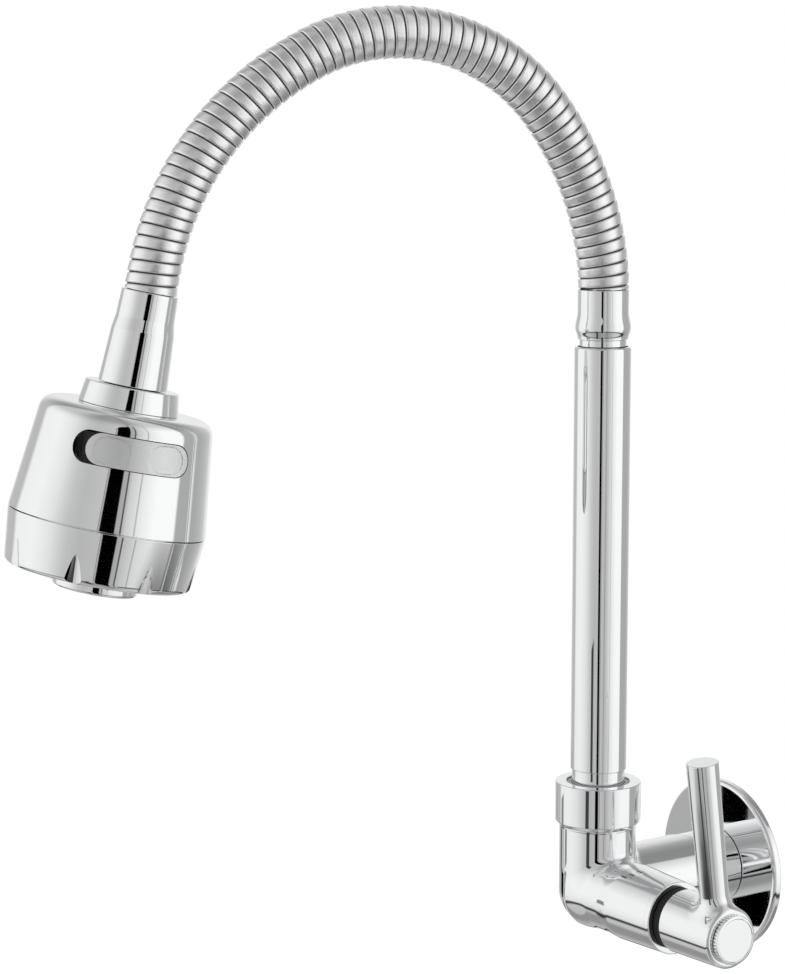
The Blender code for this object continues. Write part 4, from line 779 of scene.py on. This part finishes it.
# height up the lever's leaning axis, and distance from it
def leverPlace(points):
    lean = math.radians(handle["lean"])
    axis = np.array([0.0, -math.sin(lean), math.cos(lean)])
    fromFoot = points - np.array([handle["lever"], 0.0, 0.0])
    height = fromFoot @ axis
    return height, np.linalg.norm(fromFoot - height[:, None] * axis, axis=1)


# distance-like field of hub and lever, with X along the arm
def handleField(points):
    side = radial(points, 0) - hubRadius(points[:, 0])
    end = points[:, 0] - handle["hubEnd"]
    rim = handle["rim"]
    inside = np.minimum(np.maximum(side + rim, end + rim), 0.0)
    outside = np.hypot(np.maximum(side + rim, 0.0), np.maximum(end + rim, 0.0))
    height, across = leverPlace(points)
    lever = np.maximum(across - leverRadius(height), handle["leverStart"] - height)
    return softMin(inside + outside - rim, lever, handle["soften"])


def makeHandle():
    bore, start = handle["spacerBore"], handle["spacerStart"]
    end = start + handle["spacerWidth"]
    spacer = spun("spacerRing", [
        (bore, start), (handle["spacer"], start, handle["spacerEdge"]),
        (handle["spacer"], end, handle["spacerEdge"]), (bore, end),
    ], blackPlastic, armFrame, 128)
    place(spacer, "valve", "black_plastic", "spacer_ring")

    lean = Matrix.Rotation(math.radians(handle["lean"]), 4, 'X')
    seedFoot = handle["leverFoot"] + handle["seedSwell"]
    seedEnd = handle["stem"] + handle["seedExtra"]
    seeds = [
        seedMesh([(0, handle["hubStart"]), (handle["hub"], handle["hubStart"]),
                  (handle["hubTip"], handle["hubEnd"]), (0, handle["hubEnd"])],
                 Matrix.Rotation(math.pi / 2, 4, 'Y')),
        seedMesh([(0, 0), (seedFoot, 0), (seedFoot, seedEnd), (0, seedEnd)],
                 Matrix.Translation((handle["lever"], 0.0, 0.0)) @ lean),
    ]
    hub = castFromField(
        "handleHub", seeds, handleField,
        lambda p: (p[:, 0] > handle["joinLow"]) & (leverPlace(p)[0] < handle["stem"]),
        handle["grid"], castChrome, upFrame)
    place(hub, "lever", "polished_chrome", "lever_handle")

    join = handle["joinLow"] + handle["skirtLap"]
    skirt = spun("handleSkirt", [
        (bore, handle["hubStart"]), (handle["hub"], handle["hubStart"], handle["skirtEdge"]),
        (hubRadius(join) - handle["tuck"], join), (bore, join),
    ], castChrome, armFrame)
    place(skirt, "lever", "polished_chrome")

    start, top = handle["stem"] - handle["leverLap"], handle["leverHeight"]
    foot = upFrame @ Matrix.Translation((handle["lever"] * millimetre, 0.0, 0.0))
    lever = spun("leverRod", [
        (0.0, start), (float(leverRadius(start)) - handle["tuck"], start),
        (handle["leverTop"], top, handle["leverEdge"]), (0.0, top),
    ], castChrome, foot @ lean, 96)
    place(lever, "lever", "polished_chrome")


def makeCap():
    rim, face, edge = handle["cap"], handle["capFace"], handle["capEdge"]
    dish, inner, discs = face - handle["capDish"], rim - edge * 2.8, 6
    # radius, height and how much of the knurl a ring has
    start = handle["capStart"]
    outline = [(rim - handle["capInset"], start, 0.0), (rim, start + handle["capRise"], 1.0),
               (rim, face - edge * 1.6, 1.0), (rim - 0.1, face - edge * 1.1, 0.0),
               (rim - edge * 0.4, face - edge * 0.3, 0.0), (rim - edge, face, 0.0),
               (rim - edge * 2.2, face, 0.0), (inner, dish, 0.0)]
    outline += [(inner * ring / discs, dish, 0.0) for ring in reversed(range(discs))]
    columns = handle["knurls"] * 8
    bm = bmesh.new()
    rings = []
    for radius, height, ridged in outline:
        ring = []
        for step in range(columns):
            turn = math.tau * step / columns
            dip = ridged * handle["knurl"] * (0.5 - 0.5 * math.cos(turn * handle["knurls"]))
            ring.append(bm.verts.new(((radius - dip) * math.cos(turn),
                                      (radius - dip) * math.sin(turn), height)))
        rings.append(ring)
    for ring, after in zip(rings, rings[1:]):
        for step in range(columns):
            ahead = (step + 1) % columns
            bm.faces.new((ring[step], ring[ahead], after[ahead], after[step]))
    bm.faces.new(list(reversed(rings[0])))
    bmesh.ops.remove_doubles(bm, verts=bm.verts, dist=0.001)
    bmesh.ops.recalc_face_normals(bm, faces=bm.faces)
    bm.transform(Matrix.Scale(millimetre, 4))
    cap = keepPiece(bm, "indexCap", castChrome, armFrame, 32.0)
    weigh(cap)
    place(cap, "lever", "polished_chrome", "index_cap")


makeHandle()
makeCap()
print("handle done")


riser = {
    "tube": 11.0, "wall": 1.2, "start": 49.0, "end": 216.3, "lip": 0.9, "foot": 0.35,
    "spigot": 10.4, "spigotLow": 41.0,
    "groove": 9.1, "grooveWidth": 2.7, "bulge": 10.8, "ferrule": 9.9, "ferruleTop": 238.4,
    "bulgeReach": 10.5, "bulgeShare": 0.40, "bulgeStep": 1.0, "grooveEdge": 0.4,
    "ferruleEdge": 0.3, "gap": 0.3, "spigotLap": 0.2,
}


def makeRiser():
    wall = riser["wall"]
    tube = spun("riserTube", [
        (riser["tube"] - wall, riser["start"]), (riser["tube"], riser["start"], riser["foot"]),
        (riser["tube"], riser["end"], riser["lip"]), (riser["tube"] - wall, riser["end"]),
    ], tubeChrome, upFrame)
    place(tube, "spout", "polished_chrome", "riser_tube")
    end = riser["start"] + riser["spigotLap"]
    spigot = spun("riserSpigot", [
        (riser["spigot"] - wall, riser["spigotLow"]), (riser["spigot"], riser["spigotLow"]),
        (riser["spigot"], end), (riser["spigot"] - wall, end),
    ], tubeChrome, upFrame)
    place(spigot, "spout", "polished_chrome", "riser_spigot")

    low = riser["end"] + riser["gap"]
    high = low + riser["grooveWidth"]
    steps, peak = 16, riser["bulgeShare"]
    bulge = []
    for step in range(steps + 1):
        share = step / steps
        turn = share / peak - 1.0 if share < peak else (share - peak) / (1.0 - peak)
        floor = riser["bulge"] - riser["bulgeStep"] if share < peak else riser["ferrule"]
        radius = floor + (riser["bulge"] - floor) * (0.5 + 0.5 * math.cos(math.pi * turn))
        bulge.append((radius, high + share * riser["bulgeReach"]))
    ferrule = spun("riserFerrule", [
        (riser["groove"] - wall, low), (riser["groove"], low),
        (riser["groove"], high, riser["grooveEdge"]), *bulge,
        (riser["ferrule"], riser["ferruleTop"], riser["ferruleEdge"]),
        (riser["ferrule"] - wall, riser["ferruleTop"]),
    ], tubeChrome, upFrame)
    place(ferrule, "spout", "polished_chrome", "riser_ferrule")


makeRiser()
print("riser done")


neck = {
    "radius": 9.9, "floor": 9.05, "ribs": 66, "steps": 64,
    "firstRun": 2.9, "lastRun": 8.8,
    "arcs": [(44.8, 5.2), (121.3, 31.2), (72.6, 80.9), (114.7, 51.2)],   # radius, degrees
    "sections": 6, "blendReach": 20.0, "margin": 0.25,
}
# one rib, as (share of the pitch, radius), lapped like scales towards the head
ribOutline = [(0.00, 9.05), (0.10, 9.05), (0.125, 9.45), (0.17, 9.62), (0.26, 9.70),
              (0.50, 9.78), (0.74, 9.86), (0.88, 9.90), (0.945, 9.82), (0.985, 9.50)]


def neckRuns():
    arcs = [(radius * math.radians(angle), radius) for radius, angle in neck["arcs"]]
    return [(neck["firstRun"], None), *arcs, (neck["lastRun"], None)]


# middle points and headings, in millimetres and radians, at distances up the neck
def neckPoints(distances):
    reach = np.zeros_like(distances)
    rise = np.full_like(distances, riser["ferruleTop"])
    heading = np.zeros_like(distances)
    x, z, turned, start = 0.0, riser["ferruleTop"], 0.0, 0.0
    for length, radius in neckRuns():
        here = distances >= start
        along = distances[here] - start
        if radius is None:
            reach[here] = x + along * math.sin(turned)
            rise[here] = z + along * math.cos(turned)
            heading[here] = turned
            x += length * math.sin(turned)
            z += length * math.cos(turned)
        else:
            angle = along / radius
            reach[here] = x + radius * (math.cos(turned) - np.cos(turned + angle))
            rise[here] = z + radius * (np.sin(turned + angle) - math.sin(turned))
            heading[here] = turned + angle
            swept = length / radius
            x += radius * (math.cos(turned) - math.cos(turned + swept))
            z += radius * (math.sin(turned + swept) - math.sin(turned))
            turned += swept
        start += length
    return reach, rise, heading


# points on the neck in world metres: turn 0 faces the outside of the bend
def neckSurface(distance, radius, turn):
    reach, rise, heading = neckPoints(distance)
    reach = reach + radius * np.cos(turn) * np.cos(heading)
    rise = rise - radius * np.cos(turn) * np.sin(heading)
    across = radius * np.sin(turn)
    points = reach[:, None] * np.array(outward) + across[:, None] * np.array(sideways)
    points[:, 2] += rise
    return points * millimetre + np.array(cornerPlace)


def makeNeck():
    length = sum(run for run, radius in neckRuns())
    pitch = length / neck["ribs"]
    steps = neck["steps"]
    perRib = len(ribOutline)
    rows = (neck["ribs"] + 2) * perRib
    row = np.repeat(np.arange(rows), steps)
    column = np.tile(np.arange(steps), rows)
    shares, radii = np.array(ribOutline).T
    distance = pitch * (row // perRib - 1 + shares[row % perRib] + column / steps)
    distance = np.clip(distance, neck["margin"], length - neck["margin"])
    points = neckSurface(distance, radii[row % perRib], math.tau * column / steps)
    grid = np.arange(rows * steps).reshape(rows, steps)
    # the last column joins the first column of the same row one rib further on
    usable = rows - perRib - 1
    nextColumn = np.empty((usable + 1, steps), int)
    nextColumn[:, :-1] = grid[:usable + 1, 1:]
    nextColumn[:, -1] = grid[perRib:perRib + usable + 1, 0]
    sectionRows = neck["ribs"] // neck["sections"] * perRib
    for number in range(1, neck["sections"]):
        first = 0 if number == 1 else perRib + int((number - 0.5) * sectionRows)
        last = usable if number == neck["sections"] - 1 else \
            perRib + int((number + 0.5) * sectionRows)
        # the groove floor at the start of each rib takes the second material, a near-black painted shade
        quads, paintedShadeFlags, uvs = [], [], []
        for line in range(first, last):
            paintedShadeFlags += [1 if line % perRib == 0 else 0] * steps
            quads += [(grid[line, c], nextColumn[line, c], nextColumn[line + 1, c],
                       grid[line + 1, c]) for c in range(steps)]
            low, high = line / perRib, (line + 1) / perRib
            uvs += [((c / steps, low), ((c + 1) / steps, low), ((c + 1) / steps, high),
                     (c / steps, high)) for c in range(steps)]
        used = sorted(set(index for quad in quads for index in quad))
        renumber = {index: place for place, index in enumerate(used)}
        mesh = bpy.data.meshes.new(f"neckStrip{number}")
        mesh.from_pydata(points[used].tolist(), [],
                         [[renumber[index] for index in quad] for quad in quads])
        mesh.materials.append(woundStrip)
        mesh.materials.append(grooveShade)
        mesh.polygons.foreach_set("material_index", paintedShadeFlags)
        layer = mesh.uv_layers.new(name="strip")
        layer.data.foreach_set("uv", [value for face in uvs for corner in face
                                      for value in corner])
        bm = bmesh.new()
        bm.from_mesh(mesh)
        bmesh.ops.dissolve_degenerate(bm, edges=bm.edges, dist=1e-6)
        bmesh.ops.recalc_face_normals(bm, faces=bm.faces)
        bm.to_mesh(mesh)
        bm.free()
        mesh.shade_smooth()
        mesh.set_sharp_from_angle(angle=math.radians(50.0))
        piece = bpy.data.objects.new(f"neckStrip{number}", mesh)
        bpy.context.scene.collection.objects.link(piece)
        middle = np.array([number * length / neck["sections"]])
        heading = neckPoints(middle)[2][0]
        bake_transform(piece)
        covered = [f"gooseneck_{number}"]
        if number == neck["sections"] - 1:
            covered.append(f"gooseneck_{number + 1}")
        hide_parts(*covered)


makeNeck()
print("gooseneck done")


# heights are depths below the neck's end
head = {
    "ferruleTop": 10.6, "ferruleNeck": 11.0, "neckEnd": 10.0, "flareEnd": 14.7, "flare": 11.8,
    "ferruleFoot": 13.0, "ferruleLength": 35.0, "flareEase": 1.5, "ferruleBore": 8.9,
    "ferruleLip": 0.35, "ferruleEdge": 0.25,
    "collarTop": 17.5, "collarFoot": 18.9, "collarStart": 35.2, "collarEnd": 43.6,
    "collarEase": 0.5, "collarEdge": 0.3,
    "top": 43.8, "shoulder": 8.0, "shoulderRadius": 33.0, "seam": 37.2, "height": 42.8,
    "wall": 2.0, "hole": 8.3, "seamEdge": 0.25, "seamGap": 0.3,
    "topInset": 0.9, "topRise": 0.4, "topEdge": 5.6, "wallStart": 2.0, "innerEase": 4.0,
    "bezelHeight": 20.4, "bezelFoot": 35.0, "bezelEdge": 2.0, "bezelBore": 32.6, "ledge": 1.4,
    "ledgeEdge": 0.5, "tenon": 2.9, "tenonReach": 3.4,
    "outlet": 16.0, "outletWall": 2.9, "outletReach": 5.6, "outletRise": 3.5, "outletEdge": 1.1,
    "lip": 0.6, "lipEdge": 0.4, "lipHeight": 1.2, "lipSlope": 0.4,
    "slotMiddle": 88.8, "slotDrop": 13.7, "slotHalf": 39.3, "slotHeight": 12.2,
    "cutIn": 6.0, "cutOut": 4.0,
    "buttonHalf": 33.9, "buttonGap": 1.5, "buttonPlay": 0.3, "buttonSink": 1.0,
    "buttonEdge": 0.5, "proud": 0.5,
    "carrier": 30.2, "carrierWall": 2.6, "carrierLap": 1.9, "carrierRise": 1.0,
    "pads": [(-17.6, 11.6), (17.9, 12.0)], "padHeight": 9.6, "padDish": 0.35,
    "flutes": 8, "fluteStart": 21.5, "fluteHeight": 13.0, "fluteHalf": 4.1, "fluteDepth": 1.4,
    "fluteRise": 0.25, "fluteFlare": 1.08, "fluteBeyond": 1.25,
}
housingFoot = head["top"] + head["height"]
bezelTop = housingFoot + head["seamGap"]
bezelLow = bezelTop + head["bezelHeight"]


# outline given by depth, turned into one by height
def depths(points):
    return [(radius, -depth, *fillet) for radius, depth, *fillet in points]


def wallRadius(depth):
    start = head["top"] + head["shoulder"]
    share = (depth - start) / (housingFoot - start)
    return head["shoulderRadius"] + (head["seam"] - head["shoulderRadius"]) * share


# radii by depth: the housing's wall moved outward, or the same radius all the way
def besideWall(extra):
    return lambda depth: wallRadius(depth) + extra


def evenly(radius):
    return lambda depth: radius


def makeHeadFittings():
    bore, length = head["ferruleBore"], head["ferruleLength"]
    ferrule = spun("headFerrule", depths([
        (bore, 0.0), (head["ferruleTop"], 0.0, head["ferruleLip"]),
        (head["ferruleNeck"], head["neckEnd"], head["flareEase"]),
        (head["flare"], head["flareEnd"], head["flareEase"]),
        (head["ferruleFoot"], length, head["ferruleEdge"]), (bore, length),
    ]), headChrome, headFrame, 128)
    place(ferrule, "head", "plated_plastic", "head_ferrule")
    collar = spun("headCollar", depths([
        (head["hole"], head["collarStart"]),
        (head["collarTop"], head["collarStart"], head["collarEase"]),
        (head["collarFoot"], head["collarEnd"], head["collarEdge"]),
        (head["hole"], head["collarEnd"]),
    ]), headChrome, headFrame)
    place(collar, "head", "plated_plastic", "head_collar")


def housingOutline():
    wall, shoulder = head["wall"], head["top"] + head["shoulder"]
    start, inner = shoulder + head["wallStart"], head["shoulderRadius"] - wall
    return [
        (head["hole"], head["top"]),
        (head["shoulderRadius"] - head["topInset"], head["top"] - head["topRise"],
         head["topEdge"]),
        (wallRadius(start), start), (head["seam"], housingFoot, head["seamEdge"]),
        (head["seam"] - wall, housingFoot), (inner, shoulder),
        (inner - head["innerEase"], head["top"] + wall), (head["hole"], head["top"] + wall),
    ]


# a round-ended plate wrapped round the head's axis. Angles are in degrees
def obroundPlate(name, half, halfHeight, inner, outer, middle, material, steps=48, ends=16):
    bm = bmesh.new()
    centre = head["top"] + head["slotDrop"]
    endAngle = math.degrees(halfHeight / wallRadius(centre))
    run = half - endAngle
    outline = []
    for side in (1.0, -1.0):
        for step in range(ends + 1):
            sweep = math.pi * (step / ends - 0.5)
            outline.append((side * (run + endAngle * math.cos(sweep)),
                            side * halfHeight * math.sin(sweep)))
        for step in range(1, steps):
            outline.append((side * run * (1.0 - 2.0 * step / steps), side * halfHeight))
    shells = []
    for radiusAt in (inner, outer):
        rims = []
        for angle, rise in outline:
            depth = centre - rise
            turn = math.radians(middle + angle)
            rims.append(bm.verts.new((radiusAt(depth) * math.cos(turn),
                                      radiusAt(depth) * math.sin(turn), -depth)))
        shells.append(rims)
    count = len(outline)
    for index in range(count):
        ahead = (index + 1) % count
        bm.faces.new((shells[0][index], shells[0][ahead], shells[1][ahead], shells[1][index]))
    for rims in shells:
        right, left = rims[:ends + 1], rims[count // 2:count // 2 + ends + 1]
        upper = [right[-1], *rims[ends + 1:count // 2], left[0]]
        lower = [right[0], *reversed(rims[count // 2 + ends + 1:]), left[-1]]
        for step in range(len(upper) - 1):
            bm.faces.new((upper[step], upper[step + 1], lower[step + 1], lower[step]))
        for end in (right, left):
            low, high = 0, len(end) - 1
            while high - low > 1:
                corners = dict.fromkeys([end[low], end[low + 1], end[high - 1], end[high]])
                bm.faces.new(list(corners))
                low, high = low + 1, high - 1
    bmesh.ops.recalc_face_normals(bm, faces=bm.faces)
    bm.transform(Matrix.Scale(millimetre, 4))
    return keepPiece(bm, name, material, headFrame)


# a function that gives the turned surface's normal nearest to a point
def outlineNormal(points):
    table = np.array(roundedOutline(depths(points))) * millimetre
    sides = np.roll(table, -1, axis=0) - table
    lengths = np.maximum((sides ** 2).sum(axis=1), 1e-18)
    flat = np.stack([-sides[:, 1], sides[:, 0]], axis=1) / np.sqrt(lengths)[:, None]

    # near an outline point, the normal turns evenly between its two sides
    def normalAt(point):
        radius = math.hypot(point.x, point.y)
        spot = np.array([radius, point.z])
        share = np.clip(((spot - table) * sides).sum(axis=1) / lengths, 0.0, 1.0)
        gaps = ((table + sides * share[:, None] - spot) ** 2).sum(axis=1)
        nearest = int(np.argmin(gaps))
        before, after = flat[nearest - 1], flat[(nearest + 1) % len(table)]
        here = flat[nearest]
        low = here + before if here @ before > 0.8 else here
        high = here + after if here @ after > 0.8 else here
        mixed = low / np.linalg.norm(low) * (1 - share[nearest]) \
            + high / np.linalg.norm(high) * share[nearest]
        return Vector((mixed[0] * point.x / radius, mixed[0] * point.y / radius,
                       mixed[1])).normalized()
    return normalAt


# flip the ideal normals if the outline ran the other way round
def outwardOnly(normalAt, piece):
    face = max(piece.data.polygons, key=lambda polygon: polygon.area)
    ideal = normalAt(face.center)
    return normalAt if ideal.dot(face.normal) > 0 else lambda point: -normalAt(point)


def makeHousing():
    outline = housingOutline()
    piece = keepPiece(turned(depths(outline), 240), "headHousing", headChrome, headFrame)
    tool = obroundPlate("slotTool", head["slotHalf"], head["slotHeight"] / 2.0,
                        besideWall(-head["cutIn"]), besideWall(head["cutOut"]),
                        head["slotMiddle"], headChrome)
    cutBy(piece, tool)
    surfaceNormals(piece, outwardOnly(outlineNormal(outline), piece))
    place(piece, "head", "plated_plastic", "head_housing")


def makeSelector():
    middle = head["slotMiddle"] + head["slotHalf"] - head["buttonHalf"] - head["buttonGap"]
    half = head["slotHeight"] / 2.0 - head["buttonPlay"]
    carrier = obroundPlate("selectorCarrier", head["buttonHalf"] + head["carrierLap"],
                           half + head["carrierRise"],
                           evenly(head["carrier"] - head["carrierWall"]),
                           evenly(head["carrier"]), middle, blackPlastic)
    place(carrier, "selector", "plated_plastic", "selector_button")
    button = obroundPlate("selectorButton", head["buttonHalf"], half,
                          evenly(head["carrier"] - head["buttonSink"]),
                          besideWall(head["proud"]), middle, satinChrome)
    edge = button.modifiers.new("edge", 'BEVEL')
    edge.width = head["buttonEdge"] * millimetre
    edge.segments = 4
    edge.limit_method = 'ANGLE'
    edge.angle_limit = math.radians(50.0)
    for offset, reach in head["pads"]:
        pad = obroundPlate("padTool", reach, head["padHeight"] / 2.0,
                           besideWall(head["proud"] - head["padDish"]),
                           besideWall(head["cutOut"]), middle + offset, satinChrome)
        cutBy(button, pad)
    weigh(button)
    place(button, "selector", "plated_plastic")


def bezelOutline():
    tenon, start = head["seam"] - head["tenon"], bezelTop - head["tenonReach"]
    bore, ledge = head["bezelBore"], head["ledge"]
    return [
        (tenon, start), (tenon, bezelTop), (head["seam"], bezelTop, head["seamEdge"]),
        (head["bezelFoot"], bezelLow, head["bezelEdge"]),
        (bore - ledge, bezelLow, head["ledgeEdge"]), (bore - ledge, bezelLow - ledge),
        (bore, bezelLow - ledge), (bore, start),
    ]


# a pointed groove that sinks in towards the bezel's foot and runs out below it
def fluteTool(number):
    bm = bmesh.new()
    steps, middle = 14, 4
    slope = (head["bezelFoot"] - head["seam"]) / head["bezelHeight"]
    rows, outer = [], []
    for step in range(steps + 1):
        share = step / steps * head["fluteBeyond"]
        depth = bezelLow - head["fluteHeight"] * (1.0 - share)
        surface = head["seam"] + slope * (depth - bezelTop)
        half = head["fluteHalf"] * share ** 0.62 * head["fluteFlare"]
        sink = head["fluteDepth"] * share ** 0.9
        row = []
        for across in range(2 * middle + 1):
            side = across / middle - 1.0
            hollow = sink * (1.0 - abs(side) ** 1.5) - head["fluteRise"]
            row.append(bm.verts.new((surface - hollow, half * side, -depth)))
        rows.append(row)
        outer.append([bm.verts.new((head["seam"] + head["cutOut"], vert.co.y, vert.co.z))
                      for vert in (row[0], row[-1])])
    for row, after, edge, beyond in zip(rows, rows[1:], outer, outer[1:]):
        for across in range(2 * middle):
            bm.faces.new((row[across], row[across + 1], after[across + 1], after[across]))
        bm.faces.new((row[0], after[0], beyond[0], edge[0]))
        bm.faces.new((row[-1], after[-1], beyond[1], edge[1]))
        bm.faces.new((edge[0], beyond[0], beyond[1], edge[1]))
    bm.faces.new([*rows[-1], outer[-1][1], outer[-1][0]])
    bmesh.ops.remove_doubles(bm, verts=bm.verts, dist=0.002)
    bmesh.ops.dissolve_degenerate(bm, edges=bm.edges, dist=0.001)
    bmesh.ops.holes_fill(bm, edges=[edge for edge in bm.edges if edge.is_boundary], sides=0)
    bmesh.ops.recalc_face_normals(bm, faces=bm.faces)
    bm.transform(Matrix.Scale(millimetre, 4))
    turn = math.radians(head["fluteStart"] + 360.0 * number / head["flutes"])
    return keepPiece(bm, f"fluteTool{number}", headChrome,
                     headFrame @ Matrix.Rotation(turn, 4, 'Z'))


def makeBezel():
    outline = bezelOutline()
    piece = keepPiece(turned(depths(outline), 240), "headBezel", headChrome, headFrame)
    for number in range(head["flutes"]):
        cutBy(piece, fluteTool(number))
    surfaceNormals(piece, outwardOnly(outlineNormal(outline), piece), 8.0)
    place(piece, "head", "plated_plastic", "bezel")


def makeOutlet():
    start, low = bezelLow - head["outletRise"], bezelLow + head["outletReach"]
    inner = head["outlet"] - head["outletWall"]
    lip, shelf = inner - head["lip"], low - head["lipHeight"]
    ring = spun("outletRing", depths([
        (inner, start), (head["outlet"], start), (head["outlet"], low, head["outletEdge"]),
        (lip, low, head["lipEdge"]), (lip, shelf), (inner, shelf - head["lipSlope"]),
    ]), headChrome, headFrame, 128)
    place(ring, "head", "plated_plastic", "outlet_ring")


makeHeadFittings()
makeHousing()
makeSelector()
makeBezel()
makeOutlet()
print("spray head done")
